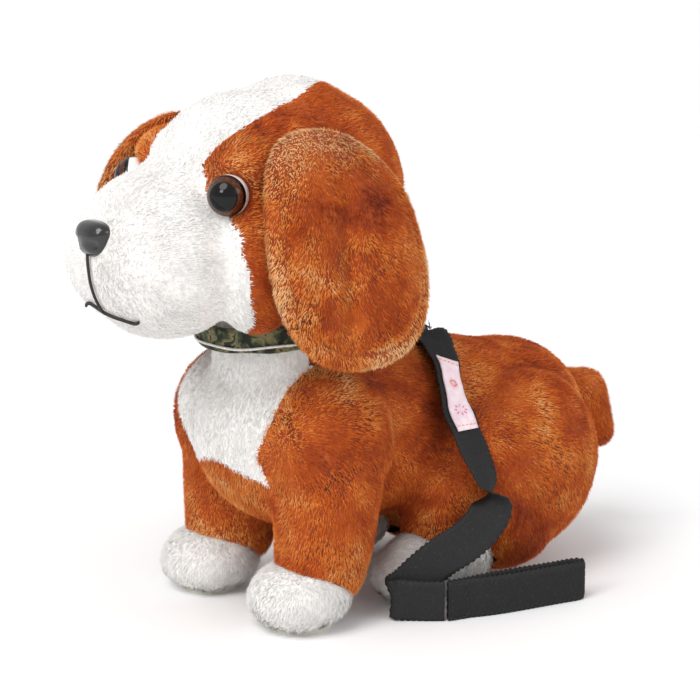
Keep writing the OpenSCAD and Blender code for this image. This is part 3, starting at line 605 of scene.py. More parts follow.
def label_point(u, v, out):
    """A point on the label: u along it 0..1, v across it -1..1, out from its face."""
    i = np.clip(u, 0, 1) * (len(lab_p) - 1)
    k = int(i)
    k2 = min(k + 1, len(lab_p) - 1)
    f = i - k
    q = lab_p[k] * (1 - f) + lab_p[k2] * f
    return q + lab_s[k] * v * LABEL_W / 2 + lab_n[k] * (WEB_T / 2 + 0.0003 + out)


nu, nv = 40, 9


def label_sheet(out):
    """A grid of points on the label; out(u, v) says how far each stands from it."""
    rows = [[label_point(u, v, out(u, v)) for v in np.linspace(-1, 1, nv)] for u in np.linspace(0, 1, nu)]
    return np.array(rows).reshape(-1, 3)


def label_top(u, v):
    """The ribbon waves a little along its middle and curls up at its edges."""
    return 0.0006 + 0.0004 * math.sin(u * 9) * (1 - abs(v)) + 0.0009 * max(0, abs(v) - 0.7)


co = np.concatenate([label_sheet(label_top), label_sheet(lambda u, v: 0.0001)])
fs = []
for i in range(nu - 1):
    for j in range(nv - 1):
        q = [i * nv + j, i * nv + j + 1, (i + 1) * nv + j + 1, (i + 1) * nv + j]
        fs.append(q)
        fs.append([x + nu * nv for x in q[::-1]])
rim_sheen = [(0, j) for j in range(nv)] + [(i, nv - 1) for i in range(1, nu)]
rim_sheen += [(nu - 1, j) for j in range(nv - 2, -1, -1)] + [(i, 0) for i in range(nu - 2, 0, -1)]
for (i0, j0), (i1, j1) in zip(rim_sheen, rim_sheen[1:] + rim_sheen[:1]):
    fs.append([i0 * nv + j0, i0 * nv + j0 + nu * nv, i1 * nv + j1 + nu * nv, i1 * nv + j1])
label = mesh_object("lead_label_ribbon", co, np.array(fs), [LABEL])

THREAD_OUT = 0.0011         # the woven threads stand this far out from the label


def ring_stitch(u, t, start, end, swing=0.0):
    """A stitch round the point u of the label's middle; start and end are its reaches along and across."""
    return tuple(label_point(u + along * math.cos(turn), across * math.sin(turn), THREAD_OUT)
                 for (along, across), turn in ((start, t), (end, t + swing)))


pink, peach = [], []
for k in range(8):                      # a flower with eight petals, low on the label
    pink.append(ring_stitch(0.73, k * math.pi / 4, (0.035, 0.32), (0.085, 0.62)))
for k in range(6):                      # a leafy ring above it
    t = k * math.pi / 3
    peach.append(ring_stitch(0.36, t, (0.05, 0.40), (0.05, 0.40), 0.9))
    pink.append(ring_stitch(0.36, t, (0.02, 0.16), (0.045, 0.36)))
for u in (0.06, 0.94):
    for k in range(5):
        v = -0.8 + k * 0.4
        peach.append((label_point(u, v - 0.15, 0.0010), label_point(u, v + 0.15, 0.0010)))
label_pink = beads("label_flower", pink, 0.00032, PINK)
label_peach = beads("label_ring", peach, 0.00028, PEACH)

for ob in (lead, handle, handle_stitches, lead_frays, label, label_pink, label_peach):
    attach(ob, "torso")
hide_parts("lead_strap")
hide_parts("lead_handle")
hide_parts("lead_label")

# ---- plush skins
FUR = 3.0                               # the pile stands this much proud of its cloth, in mm


def skinned(name, co, faces, normals, cloth, body=None, bend=None, nodes=()):
    """A padded piece's own cloth."""
    ob = mesh_object(name, co, faces, [cloth], normals=normals)
    settle([ob], body, bend)
    if nodes:
        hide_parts(*nodes)
    return ob


def lumpy(co, normals, size, depth, seed):
    """Pushes a skin in and out a little, as stuffing does."""
    d = vnoise(co, size, seed) * depth + vnoise(co, size * 0.4, seed + 1) * depth * 0.4
    return co + normals * d[:, None]


def toward(vec):
    v = unit(np.array(vec, float))
    return lambda p, n: np.tile(v, (len(p), 1))


# torso, shoulders, haunches and upper legs are one skin, cut into its pieces afterwards
torso_parts = [
    pill((0, -34, 88), (0, 100, 73), 54 - FUR, 43 - FUR),
    ball((0, -22, 100), (45, 40, 40)),
    pill((0, -40, 108), (0, -46, 168), 38 - FUR, 36 - FUR),
    ball((0, 96, 74), (46, 44, 42)),
]
torso_parts += both([
    ball((38, -43, 88), (27, 34, 37)),
    pill((40, -44, 66), (39, -48, 29), 29 - FUR, 25.5 - FUR),
    ball((36, 78, 59), (29, 50, 48), (12, 0, 0)),
    ball((38, 66, 36), (26, 34, 30)),
    ball((44, 52, 58), (24, 34, 38)),
    pill((40, 28, 54), (40, 24, 30), 25 - FUR, 22 - FUR),
])
body_co, body_faces = melt(torso_parts, 1.9, 26)
body_n = vertex_normals(body_co, body_faces)
body_co = lumpy(body_co, body_n, 0.035, 0.0012, 3)
body_n = vertex_normals(body_co, body_faces)

mid = body_co[body_faces].mean(1) * 1000 - STAND          # face centres in drawing mm
fx, fy, fz = mid.T
ax = np.abs(fx)


def on_bib(p):
    """True inside the white front of the chest."""
    x, y, z = (np.asarray(p) * 1000 - STAND).T
    wave = 0.5 * np.sin(z / 5.0) + 0.5 * np.sin(x / 6.3)
    wider = 9 * (x < 0) * np.clip((z - 74) / 20, 0, 1)      # it runs further round the dog's right side
    edge = np.interp(z, [62, 84, 104, 150], [33, 29, 36, 35]) + wave + wider
    low = np.interp(np.abs(x), [6, 22, 40], [78, 72, 66]) + wave
    return (y < -50) & (np.abs(x) < edge) & (z > low)


is_bib = on_bib(body_co[body_faces].mean(1))
is_front = (fz < 82 - 0.25 * (fy + 44)) & (fy < -6) & (ax > 17) & ~is_bib
is_front &= (fz < 52) | (ax > 24)
is_hind = (fz < 46) & (fy > -4) & (fy < 52) & (ax > 19)
is_neck = (fz > 141) & ~is_bib
part_key = np.zeros(len(body_faces), int)
part_key[is_bib] = 1
part_key[is_front & (fx > 0)] = 2
part_key[is_front & (fx < 0)] = 3
part_key[is_hind & (fx > 0)] = 4
part_key[is_hind & (fx < 0)] = 5
part_key[is_neck] = 6


def warped(p):
    """The points, moved about so that a noise read at them makes ragged patches."""
    return p + 0.006 * vnoise3(p, 0.02, 25)


def brown_tone_and_sheen(level=3.0, patch=1.7):
    """Mottled brown about a tone of the pile, partly painted sheen and shade: light patches stand for pile
    that lies flat and catches light, dark ones for ruffled pile in shade; patch is how strongly the large
    patches differ.
    """
    def tone(p, n):
        w = warped(p)
        return level + patch * vnoise(w, 0.030, 21) + 1.3 * vnoise(w, 0.011, 22) + 0.6 * vnoise(w, 0.0045, 23)
    return tone


def white_tone(p, n):
    return 2.0 + 0.4 * vnoise(p, 0.012, 31) + 0.3 * vnoise(p, 0.004, 32)


def body_flow(p, n):
    """Backward along the back and flanks, down the legs and chest."""
    q = p * 1000 - STAND
    down = np.clip((100 - q[:, 2]) / 50, 0, 1)[:, None]
    f = np.array([0.0, 0.9, -0.35]) * (1 - down) + np.array([0.0, 0.25, -1.0]) * down
    return f + 0.5 * vnoise3(p, 0.03, 41)


def leg_tone_and_sheen(p, n):
    """Painted sheen: golden streaks low on the legs, where the pile catches light."""
    z = p[:, 2] * 1000
    sheen_streak = 0.6 + 0.8 * vnoise(p * [1, 1, 0.35], 0.008, 24)
    return brown_tone_and_sheen(2.8, 1.5)(p, n) + 1.3 * np.clip((60 - z) / 35, 0, 1) * sheen_streak


COLLAR_Z = 0.150            # no pile grows on the neck above this


def above_collar(p):
    return p[:, 2] > COLLAR_Z


leg_bend = {}
for _, side in SIDES:
    leg_bend["front_" + side] = ("torso", "front_leg_" + side, tuple(mm(0, -43, 86)), tuple(mm(0, -46, 44)))
    leg_bend["hind_" + side] = ("torso", "hind_leg_" + side, tuple(mm(0, 28, 48)), tuple(mm(0, 26, 26)))

names = ["body_plush", "chest_bib", "front_leg_left", "front_leg_right", "hind_leg_left", "hind_leg_right",
         "neck_plush"]
for key, name in enumerate(names):
    keep = part_key == key
    if 2 <= key <= 5:
        keep &= fz > 17
    c, f, n = part_of(body_co, body_faces, body_n, keep)
    bend = leg_bend[name.replace("_leg", "")] if 2 <= key <= 5 else None
    white = name == "chest_bib"
    # a colour's tufts also grow on the strip of the neighbouring piece that the true edge takes in
    wide = part_of(body_co, body_faces, body_n, part_key < 2) if key < 2 else (c, f, n)
    slot = "plush_white" if white else "plush_brown"
    body = None if bend else "torso"
    nodes = (name, "haunches") if name == "body_plush" else (name,)
    skinned(name + "_cloth", c, f, n, WHITE_CLOTH if white else BROWN_CLOTH, body, bend, nodes)
    if white:
        obs = tufts(name + "_pile", *wide, DENSE, 2.4, TUFT_W, 17, toward((0, -0.2, -1)), white_tone,
                    WHITE_MATS, lambda p: above_collar(p) | ~on_bib(p))
    elif bend:
        obs = tufts(name + "_pile", c, f, n, DENSE, 2.7, TUFT_W, 20, body_flow, leg_tone_and_sheen, BROWN_MATS, on_bib)
    else:
        obs = tufts(name + "_pile", *wide, DENSE, 2.7, TUFT_W, 20, body_flow, brown_tone_and_sheen(), BROWN_MATS,
                    lambda p: above_collar(p) | on_bib(p))
    settle(obs, body, bend)

# paws and hind feet


def white_foot(name, body, parts, flow):
    """A stuffed white foot that stands on the floor."""
    c, f = melt(parts, 2.2, 8)
    c[:, 2] = np.maximum(c[:, 2], 0.0008)
    n = vertex_normals(c, f)
    skinned(name + "_cloth", c, f, n, WHITE_CLOTH, body, None, (name,))
    pile = tufts(name + "_pile", c, f, n, DENSE, 2.8, TUFT_W, 24, flow, white_tone, WHITE_MATS)
    settle(pile, body, None)


def spread_from(centre):
    """The pile of a paw runs outward and down its front."""
    return lambda p, n: (p - centre) * [14, 14, 0] + [0, -0.25, -0.5]


for s, side in SIDES:
    paw = [ball((s * 39, -60, 16), (26, 24, 16)), ball((s * 39, -68, 14.5), (22, 17, 13.5)),
           ball((s * 48, -66, 13.5), (14, 16, 12.5)), ball((s * 30, -66, 13.5), (14, 16, 12.5))]
    white_foot("front_paw_" + side, "front_leg_" + side, paw, spread_from(mm(s * 39, -60, 0)))
    foot = [pill((s * 42, 8, 18), (s * 42, 34, 20), 17, 18), ball((s * 42, 0, 15), (19, 14, 14))]
    white_foot("hind_foot_" + side, "hind_leg_" + side, foot, toward((0, -0.7, -0.5)))

# tail
tail = [pill((0, 144, 82), (0, 158, 79.5), 11, 11.5), pill((0, 158, 79.5), (0, 167, 56), 11.5, 9.5)]
c, f = melt(tail, 2.2, 6)
n = vertex_normals(c, f)
skinned("tail_cloth", c, f, n, BROWN_CLOTH, "tail", None, ("tail_plush",))
pile = tufts("tail_pile", c, f, n, DENSE, 3.0, TUFT_W, 24, toward((0, 0.3, -1)), brown_tone_and_sheen(3.2, 0.8),
             BROWN_MATS)
settle(pile, "tail", None)

# ---- head
EYE = mm(40.5, -99.5, 211.5)
EYE_R = 0.0095
EYE_HOLLOW = 0.0125         # the cloth is drawn in round each eye as far out as this
head_parts = [
    pill((0, -60, 202), (0, -30, 206), 56 - FUR, 51 - FUR),
    ball((0, -38, 222), 41 - FUR),
    ball((0, -110, 181), (46 - FUR, 42 - FUR, 43 - FUR)),
    pill((0, -114, 194), (0, -88, 212), 26, 23),
]
head_parts += both([
    ball((17, -114, 177), (32, 33, 31)),
    ball((32, -84, 221), (17, 18, 16)),
    ball((32, -86, 206), (16, 19, 20)),
    ball((40, -84, 178), (20, 24, 32)),
])
head_co, head_faces = melt(head_parts, 1.8, 21)
head_n = vertex_normals(head_co, head_faces)
head_co = lumpy(head_co, head_n, 0.03, 0.0008, 5)
# a hollow for each eye
for s in (1, -1):
    c = EYE * [s, 1, 1]
    d = np.linalg.norm(head_co - c, axis=1)
    near = d < EYE_HOLLOW
    head_co[near] -= head_n[near] * ((EYE_HOLLOW - d[near]) * 0.55)[:, None]
head_n = vertex_normals(head_co, head_faces)


def on_white(p):
    """True on the white of the face. From a point inside the head, its edge is an angle off the way
    forward, and changes with the turn about that way: -90 is down, 0 the dog's side, 90 up."""
    x, y, z = (np.asarray(p) * 1000 - STAND).T
    v = np.stack([np.abs(x), -(y + 60), z - 190], 1)
    turn = np.degrees(np.arctan2(v[:, 2], v[:, 0]))
    off = np.degrees(np.arccos(v[:, 1] / np.linalg.norm(v, axis=1)))
    edge = np.interp(turn, [-90, -40, 5, 40, 55, 62, 72, 90],
                     [68, 62, 51, 39, 45, 76, 105, 124])
    return off < edge + 0.7 * np.sin(turn / 3.1)


MUZZLE_TOP = 0.214          # the blaze is a piece of its own above this


def above_muzzle(p):
    return np.asarray(p)[:, 2] > MUZZLE_TOP


centres = head_co[head_faces].mean(1)
is_white, is_high = on_white(centres), above_muzzle(centres)
head_key = np.zeros(len(head_faces), int)
head_key[is_white & ~is_high] = 1
head_key[is_white & is_high] = 2


def head_flow(p, n):
    """The pile sweeps back and outward from the nose."""
    q = p - mm(0, -150, 196)
    f = q * [1.0, 1.0, 0.6] + np.array([0, 0.03, 0])
    return unit(f) + 0.35 * vnoise3(p, 0.02, 51)


head_tree = BVHTree.FromPolygons([tuple(v) for v in head_co], [tuple(int(i) for i in q) for q in head_faces])


def on_head(x, z, out):
    """The point of the face at drawing x and z, out mm proud of its cloth."""
    hit, normal, _, _ = head_tree.ray_cast(Vector(mm(x, -200, z)), Vector((0, 1, 0)))
    return np.array(hit + normal * out / 1000)


seam = [on_head(x, z, 1.6) for x, z in
        [(0.4, 188), (0.6, 183), (1.0, 177), (1.2, 171), (1.0, 165), (0.8, 160), (0.8, 157.5)]]
mouth = [on_head(x, z, 1.4) for x, z in
         [(-21, 157), (-17, 158.5), (-12, 159.6), (-6, 159.4), (0.8, 157.5), (6, 156.2), (11, 155.2),
          (16, 154.6), (20, 154.8), (23, 155.8)]]
NOSE_C = on_head(0.0, 191.5, 0.0) + np.array([0.0006, 0.0014, 0])
thread_points = np.concatenate([resample(seam, np.tile([1.0, 0.2, 0], (len(seam), 1)), 0.0006)[0],
                                resample(mouth, np.tile([0.0, 0.2, 1], (len(mouth), 1)), 0.0006)[0]])


def near_features(p):
    """True where no tuft may grow: under the nose, over the eyes and along the mouth's thread."""
    bad = np.linalg.norm((p - NOSE_C) * [1, 0.8, 1.2], axis=1) < 0.0112
    for s in (1, -1):
        bad |= np.linalg.norm(p - EYE * [s, 1, 1], axis=1) < EYE_R + 0.0008
    for k in range(0, len(thread_points), 2):
        bad |= ((p - thread_points[k]) ** 2).sum(1) < 0.0021 ** 2
    return bad


def brow(p, n):
    """Lighter tufts round the eyes and on the cheek's edge."""
    t = brown_tone_and_sheen(3.2, 1.3)(p, n)
    for s in (1, -1):
        d = np.linalg.norm(p - (EYE * [s, 1, 1] + [0, 0.006, 0.012]), axis=1)
        t = t + 1.8 * np.clip(1 - d / 0.022, 0, 1)
    return t


def not_blaze(p):
    return near_features(p) | ~on_white(p) | ~above_muzzle(p)


def not_muzzle(p):
    return near_features(p) | ~on_white(p) | above_muzzle(p)


def not_brown(p):
    return near_features(p) | on_white(p)


WHITE_PILE = (2.3, TUFT_W, 16, head_flow, white_tone, WHITE_MATS)
BROWN_PILE = (2.7, TUFT_W, 20, head_flow, brow, BROWN_MATS)
for key, (name, node, cloth, slot, pile, elsewhere) in enumerate((
        ("head", "head_plush", BROWN_CLOTH, "plush_brown", BROWN_PILE, not_brown),
        ("muzzle", "muzzle_plush", WHITE_CLOTH, "plush_white", WHITE_PILE, not_muzzle),
        ("blaze", "head_blaze", WHITE_CLOTH, "plush_white", WHITE_PILE, not_blaze))):
    c, f, n = part_of(head_co, head_faces, head_n, head_key == key)
    skinned(name + "_cloth", c, f, n, cloth, "torso", None, (node,))
    settle(tufts(name + "_pile", head_co, head_faces, head_n, DENSE, *pile, elsewhere), "torso", None)

# mouth: one thread down, one across
THREAD = speckled("mouth_thread", (24, 20, 20), 0.6, (1800, 2), [(0.35, (14, 12, 12)), (0.7, (52, 46, 44))]).m


def cordlet(name, pts, r, mat, hint):
    """A twisted thread of radius r through the points; hint is any way across it."""
    p, w, _ = resample(pts, np.tile(hint, (len(pts), 1)), 0.0005)
    side, other = across_line(p, w)
    n, m = len(p), 8
    twist = np.arange(n)[:, None] * 0.5 + np.arange(m)[None] * 2 * math.pi / m
    rr = r * (1 + 0.12 * np.cos(twist * 2))
    around = np.cos(twist)[..., None] * side[:, None] + np.sin(twist)[..., None] * other[:, None]
    co = p[:, None] + rr[..., None] * around
    co = np.concatenate([co.reshape(-1, 3), p[:1], p[-1:]])
    last = (n - 1) * m
    ends = [[n * m, (q + 1) % m, q] for q in range(m)]
    ends += [[n * m + 1, last + q, last + (q + 1) % m] for q in range(m)]
    return mesh_object(name, co, np.concatenate([triangles(tube_faces(n, m)), np.array(ends)]), [mat])


seam_thread = cordlet("mouth_seam", seam, 0.00075, THREAD, [1.0, 0.2, 0])
mouth_thread = cordlet("mouth_line", mouth, 0.0008, THREAD, [0.0, 0.2, 1])
settle([seam_thread, mouth_thread], "torso", None)
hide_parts("mouth_stitching")

# nose: a rounded triangle with two nostrils, glossy with a fine grain
NOSTRIL_R = 0.0034
c, f = ball((0, 0, 0), 1.0, n=40)
c = np.sign(c) * np.abs(c) ** 0.86
c = np.stack([c[:, 0] * (11.4 + 2.4 * c[:, 2]), c[:, 1] * 7.4, c[:, 2] * 8.9], 1)
c[:, 2] -= 0.9 * (1 - (c[:, 0] / 12) ** 2) * (c[:, 2] > 0)
c = c / 1000 + NOSE_C
n = vertex_normals(c, f)
for s in (1, -1):
    hole = NOSE_C + [s * 0.0070, -0.0058, -0.0022]
    d = np.linalg.norm((c - hole) * [0.75, 1, 1], axis=1)
    k = d < NOSTRIL_R
    c[k] += np.array([0, 1, 0]) * ((NOSTRIL_R - d[k]) * 0.8)[:, None]
groove = np.exp(-(c[:, 0] / 0.0011) ** 2) * (c[:, 2] < NOSE_C[2] + 0.003)
c[:, 1] += groove * 0.0007
n = vertex_normals(c, f)
nose_mat = speckled("nose_black", (17, 16, 17), 0.2, (500, 3), [(0.35, (12, 11, 12)), (0.7, (26, 24, 25))],
                    ((1500, 2), 0.25, 0.0003), Coat_Weight=0.6, Coat_Roughness=0.08)
nose_mat.rough_from(nose_mat.noise(700, 2), 0.14, 0.34)
nose = mesh_object("nose_moulding", c, f, [nose_mat.m], normals=n)
settle([nose], "torso", None)
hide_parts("nose")

# eyes: a white ball that carries a black pupil, a brown iris and a black ring as thin caps
IRIS = speckled("eye_iris", (74, 38, 22), 0.08, (700, 4, 0.7),
                [(0.3, (46, 22, 13)), (0.55, (86, 44, 24)), (0.75, (124, 70, 38))], Specular_IOR_Level=0.3).m
EYE_BLACK = speckled("eye_black", (6, 5, 6), 0.05, (300, 2), [(0.3, (7, 6, 7)), (0.7, (14, 12, 13))],
                     Specular_IOR_Level=0.3).m
EYE_WHITE = speckled("eye_white", (238, 238, 236), 0.15, (200, 3),
                     [(0.3, (226, 226, 226)), (0.7, (244, 244, 242))], Coat_Weight=0.8, Coat_Roughness=0.03).m
GAZE = unit([0.60, -0.80, 0.02])


def cap(name, centre, gaze, r, t0, t1, mat):
    """A band of a ball between angles t0 and t1, in degrees from the line of sight, closed at the back."""
    t0, t1 = math.radians(t0), math.radians(t1)
    rows = [(r * math.sin(t), r * math.cos(t)) for t in np.linspace(t0, t1, 12)]
    inner = [((r - 0.0004) * math.sin(t), (r - 0.0004) * math.cos(t)) for t in np.linspace(t1, t0, 6)]
    prof = rows + inner + ([rows[0]] if t0 > 0 else [])
    c, f = revolve(prof, centre, centre + gaze, 48)
    return mesh_object(name, c, f[:, ::-1], [mat])


for s, side in SIDES:
    c0, g = EYE * [s, 1, 1], GAZE * [s, 1, 1]
    prof = [(EYE_R * math.sin(t), -EYE_R * math.cos(t)) for t in np.linspace(0, math.pi, 32)]
    c, f = revolve(prof, c0, c0 + g, 48)
    white = mesh_object("eye_ball_" + side, c, f, [EYE_WHITE])
    ring = cap("eye_ring_" + side, c0, g, EYE_R + 0.00025, 64, 75, EYE_BLACK)
    iris = cap("eye_iris_" + side, c0, g, EYE_R + 0.0002, 44, 64.5, IRIS)
    pupil = cap("eye_pupil_" + side, c0, g, EYE_R + 0.00025, 0, 45, EYE_BLACK)
    settle([white], "torso", None)
    settle([ring, iris, pupil], "torso", None)
    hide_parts("eye_" + side)
    if s > 0:
        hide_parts("eye_irises")

# ---- ears
EAR_C = np.array([-52.0, 186.0])        # a point inside the ear, as Y and Z in mm
EAR_TOP = np.array([-60.0, 240.0])      # the far ear is turned about this point
FAR_EAR_TURN = math.radians(-13)


def ear_reach(around):
    """How far the ear's edge lies from EAR_C at even angles: a squarish egg that is wider low down."""
    th = np.linspace(0, 2 * math.pi, around, endpoint=False)
    cos, sin = [np.sign(v) * np.abs(v) ** (2 / 2.4) for v in (np.cos(th), np.sin(th))]
    out = np.stack([-53.5 - 5.5 * sin + 41.5 * (1 - 0.08 * sin) * cos, 185 + 54 * sin], 1) - EAR_C
    ang, rad = np.unwrap(np.arctan2(out[:, 1], out[:, 0])), np.linalg.norm(out, axis=1)
    order = np.argsort(ang)
    ang, rad = ang[order], rad[order]
    ang = np.concatenate([ang - 2 * math.pi, ang, ang + 2 * math.pi])
    reach = np.interp(th, ang, np.tile(rad, 3))
    for _ in range(3):
        reach = (np.roll(reach, 1) + 2 * reach + np.roll(reach, -1)) / 4
    return th, reach


def ear_mesh(s, seed, rings=22, around=120):
    """A stuffed flap: two bulged faces that meet at the rim, with a crease and a channel inside the rim."""
    th, reach = ear_reach(around)
    rs = np.sin(np.linspace(0, math.pi / 2, rings + 1))[1:]

    def surface(r, t, side):
        edge = np.interp(t % (2 * math.pi), th, reach, period=2 * math.pi)
        y = EAR_C[0] + r * np.cos(t) * edge
        z = EAR_C[1] + r * np.sin(t) * edge
        xm = np.interp(z, [130, 150, 170, 190, 210, 225, 240], [75, 74, 72, 69, 64.5, 57, 47])
        xm = xm - 0.0016 * np.clip(-52 - y, 0, 99) ** 2 - 0.0010 * np.clip(y + 40, 0, 99) ** 2
        half = 8.2 * np.sqrt(np.clip(1 - r ** 3.2, 0, 1)) + 0.8
        if side > 0:
            crease = np.exp(-((y + 57 + (200 - z) * 0.08) / 4.5) ** 2)
            crease = crease * np.clip((z - 135) / 20, 0, 1) * np.clip((222 - z) / 20, 0, 1)
            channel = np.exp(-((r - 0.84) / 0.045) ** 2) * (z < 225)
            half = half - 3.0 * crease - 1.5 * channel
            lumps = vnoise(np.stack([y, z, np.zeros_like(y)], 1) / 1000 + 5, 0.021, 60 + seed)
            half = half + 1.2 * lumps * (1 - r ** 4)
        return np.stack([xm + side * half, y, z], 1)

    middle = np.array([0.0])
    co = [surface(middle, middle, 1)]
    for r in rs:
        co.append(surface(np.full(around, r), th, 1))
    for r in rs[-2::-1]:
        co.append(surface(np.full(around, r), th, -1))
    co.append(surface(middle, middle, -1))
    co = np.concatenate(co)
    rows = 2 * rings - 1
    faces = []
    for i in range(rows - 1):
        for j in range(around):
            k = (j + 1) % around
            faces.append([1 + i * around + j, 1 + i * around + k, 1 + (i + 1) * around + k])
            faces.append([1 + i * around + j, 1 + (i + 1) * around + k, 1 + (i + 1) * around + j])
    last = len(co) - 1
    for j in range(around):
        k = (j + 1) % around
        faces.append([0, 1 + k, 1 + j])
        faces.append([last, 1 + (rows - 1) * around + j, 1 + (rows - 1) * around + k])
    faces = np.array(faces)
    if s < 0:                           # the far ear hangs with its tip further forward
        cos, sin = math.cos(FAR_EAR_TURN), math.sin(FAR_EAR_TURN)
        y, z = (co[:, 1:] - EAR_TOP).T
        co[:, 1:] = np.stack([y * cos - z * sin, y * sin + z * cos], 1) + EAR_TOP
    co = mm(co)
    n = vertex_normals(co, faces)
    if (n * (co - co.mean(0))).sum() < 0:
        faces = faces[:, ::-1]
    if s < 0:
        co, faces = co * [-1, 1, 1], faces[:, ::-1]
    n = vertex_normals(co, faces)
    return co, faces, n


def ear_tone_and_sheen(p, n):
    """Painted sheen and shade: golden along the rim, where the ear turns, and low down; dark maroon patches
    over the middle where the pile is ruffled.
    """
    q = p * 1000 - STAND
    d = np.stack([(q[:, 1] + 52) / 44, (q[:, 2] - 186) / 54], 1)
    # painted sheen: the pile is made lighter toward the rim of the ear
    rim_sheen = np.clip((np.linalg.norm(d, axis=1) - 0.78) / 0.12, 0, 1)
    w = warped(p)
    t = 2.7 + 1.8 * vnoise(w, 0.026, 71) + 1.3 * vnoise(w, 0.010, 72) + 0.6 * vnoise(w, 0.004, 73)
    return t + 1.9 * rim_sheen + 0.8 * np.clip((170 - q[:, 2]) / 40, 0, 1)


def ear_flow(p, n):
    """Down the ear, fanning out to its edges."""
    q = p * 1000 - STAND
    f = np.stack([np.zeros(len(q)), (q[:, 1] + 54) * 0.012, -np.ones(len(q))], 1)
    return f + 0.45 * vnoise3(p, 0.024, 74)


for s, side in SIDES:
    c, f, n = ear_mesh(s, 0 if s > 0 else 7)
    skinned("ear_%s_cloth" % side, c, f, n, BROWN_CLOTH, "torso", None, ("ear_" + side,))
    pile = tufts("ear_%s_pile" % side, c, f, n, DENSE, 2.7, TUFT_W, 20, ear_flow, ear_tone_and_sheen, BROWN_MATS)
    settle(pile, "torso", None)

# ---- collar with its cord
NECK = mm(0, -44, 143)
TILT = math.radians(8)
collar_mat = Mat("collar_cloth", (62, 66, 42), 0.85)
camo = collar_mat.noise(95, 3, 0.6, distortion=1.2)
CAMO = [(0.0, (28, 30, 22)), (0.43, (52, 62, 38)), (0.50, (96, 100, 66)), (0.56, (128, 116, 80)),
        (0.62, (40, 42, 30))]
collar_mat.colour(collar_mat.ramp(camo, CAMO, "CONSTANT"))
collar_mat.bump(collar_mat.noise(1600, 2), 0.5, 0.0004)


def neck_point(t, r, h):
    """A point r from the neck's own axis at angle t, h along it, all in mm."""
    x, y, z = r * math.cos(t), r * math.sin(t), h
    cos, sin = math.cos(TILT), math.sin(TILT)
    return NECK + np.array([x, y * cos - z * sin, y * sin + z * cos]) / 1000


def band(name, profile, mat, around=160):
    """A closed band round the neck from a closed profile of (radius, height) in mm."""
    co, faces, m = [], [], len(profile)
    for i in range(around):
        t = 2 * math.pi * i / around
        wave = 0.5 * math.sin(5 * t + 0.6) + 0.3 * math.sin(11 * t)
        co += [neck_point(t, r + wave * 0.5, h + wave * 0.8) for r, h in profile]
    for i in range(around):
        j = (i + 1) % around
        for k in range(m):
            q = (k + 1) % m
            faces.append([i * m + k, j * m + k, j * m + q, i * m + q])
    return mesh_object(name, np.array(co), np.array(faces), [mat])


COLLAR_PROFILE = [(38.2, -5.8), (40.3, -6.0), (41.0, -5.4), (41.1, -3.0), (40.9, 0), (41.1, 3.0), (41.0, 5.4),
                  (40.3, 6.0), (38.2, 5.8), (37.9, 0)]
collar = band("collar_band", COLLAR_PROFILE, collar_mat.m)
CORD = speckled("collar_cord", (240, 239, 236), 0.7, (1500, 2),
                [(0.35, (206, 204, 200)), (0.65, (246, 245, 242))]).m
cord_pts = [neck_point(2 * math.pi * k / 40 + 0.02, 41.7, -3.0 + 0.4 * math.sin(7 * math.pi * k / 20))
            for k in range(41)]
cord_pts[-1] = cord_pts[0] + (cord_pts[1] - cord_pts[0]) * 0.02
collar_cord = cordlet("collar_cord_twist", cord_pts, 0.00062, CORD, [0, 0, 1.0])
spans = []
for k in range(60):
    t = 2 * math.pi * k / 60
    for h in (-4.9, 4.9):
        spans.append((neck_point(t, 41.2, h), neck_point(t + 0.055, 41.2, h)))
collar_stitches = beads("collar_stitches", spans, 0.00022, THREAD)
settle([collar, collar_stitches], "torso", None)
settle([collar_cord], "torso", None)
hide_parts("collar")
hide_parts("collar_cord")

# ---- fibre fill inside the head
FILL = speckled("stuffing", (236, 236, 232), 0.95, (160, 5, 0.7),
                [(0.35, (214, 213, 208)), (0.65, (246, 245, 242))],
                ((500, 4, 0.7), 0.8, 0.001)).m
c, f = melt([pill((0, -66, 200), (0, -30, 206), 48, 43), ball((0, -100, 184), (34, 30, 32))], 3.5, 10)
n = vertex_normals(c, f)
c = lumpy(c, n, 0.012, 0.002, 9)
stuffing = mesh_object("head_fibre_fill", c, f, [FILL])
settle([stuffing], "torso", None)
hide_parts("head_stuffing")

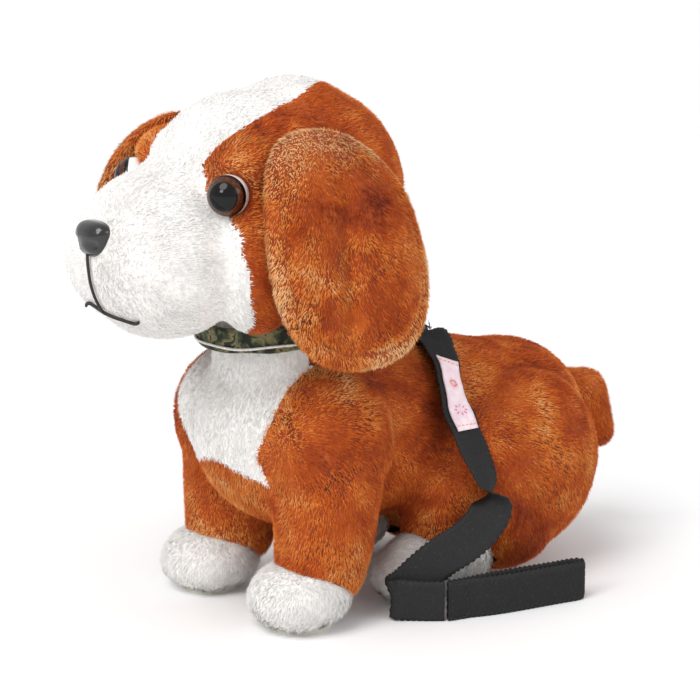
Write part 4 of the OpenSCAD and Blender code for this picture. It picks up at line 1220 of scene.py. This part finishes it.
# ---- the works keep their CAD shapes
case = moulded("case_plastic", (206, 206, 200), 0.5)
steel = metal("steel_bright", (186, 188, 192), 0.26)
brass = metal("brass", (196, 158, 92), 0.3)
cell = moulded("cell_wrap", (34, 92, 60), 0.3, 0.7, 500)
board = speckled("board_green", (22, 74, 46), 0.4, (600, 2), [(0.45, (18, 62, 38)), (0.62, (34, 98, 62))]).m
black_plastic = moulded("dark_plastic", (30, 30, 32), 0.45)
red_plastic = moulded("red_plastic", (176, 34, 30), 0.4)
wire_cover = moulded("wire_cover", (168, 28, 26), 0.5, 0.8, 700)
grey = moulded("grey_plastic", (150, 152, 154), 0.42)
rod = moulded("rod_plastic", (226, 222, 208), 0.45)
LOOKS = {}
for look, nodes in (
        (case, "chassis_tray chassis_cover battery_door"),
        (steel, "chassis_screws battery_door_screw battery_contacts leg_axles gear_axles motor crankshaft"),
        (black_plastic, "axle_caps speaker switch_body"), (red_plastic, "switch_knob"),
        (brass, "motor_pinion"),
        (cell, "batteries"), (board, "circuit_board"), (wire_cover, "wires"), (WEBBING, "lead_anchor"),
        (grey, "output_gear link_rod_left link_rod_right tail_push_rod"),
        (rod, "eye_washers first_gear second_gear front_frame_left front_frame_right hind_frame_left"
              " hind_frame_right tail_arm")):
    LOOKS.update((node, look) for node in nodes.split())
for node, look in LOOKS.items():
    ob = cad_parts[node]
    ob.data.materials.clear()
    ob.data.materials.append(look)
    ob.data.polygons.foreach_set("material_index", np.zeros(len(ob.data.polygons), np.int32))
for node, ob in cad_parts.items():
    assert ob.hide_render or node in LOOKS, node

# ---- floor and light
floor_mat = bpy.data.materials.new("floor")
floor_mat.use_nodes = True
fb = floor_mat.node_tree.nodes["Principled BSDF"]
fb.inputs["Base Color"].default_value = (0.93, 0.93, 0.93, 1)
fb.inputs["Roughness"].default_value = 0.9
fb.inputs["Specular IOR Level"].default_value = 0.1
corners = np.array([[-40, -40, 0], [40, -40, 0], [40, 40, 0], [-40, 40, 0]], float)
floor = mesh_object("floor", corners, [[0, 1, 2, 3]], [floor_mat])

world = bpy.data.worlds.new("studio")
bpy.context.scene.world = world
world.use_nodes = True
bg = world.node_tree.nodes["Background"]
bg.inputs["Color"].default_value = (1.0, 1.0, 1.0, 1)
bg.inputs["Strength"].default_value = 0.70


def lamp(name, kind, strength, at, look, **kw):
    data = bpy.data.lights.new(name, kind)
    data.energy = strength
    for k, v in kw.items():
        setattr(data, k, v)
    ob = bpy.data.objects.new(name, data)
    ob.location = at
    ob.rotation_euler = (Vector(look) - Vector(at)).to_track_quat("-Z", "Y").to_euler()
    bpy.context.scene.collection.objects.link(ob)


lamp("key", "SUN", 1.55, (0.6, -2.2, 3.0), (0, 0, 0), angle=math.radians(38))
# a window for the eyes and the nose to mirror, up on the camera's left
lamp("window", "AREA", 5.0, (0.45, -1.55, 0.95), (0, -0.08, 0.2), shape="RECTANGLE", size=0.5, size_y=0.36)
lamp("soft", "AREA", 3.5, (1.5, 0.5, 0.9), (0, 0, 0.12), shape="DISK", size=0.8)
bpy.context.scene.view_settings.view_transform = "Standard"
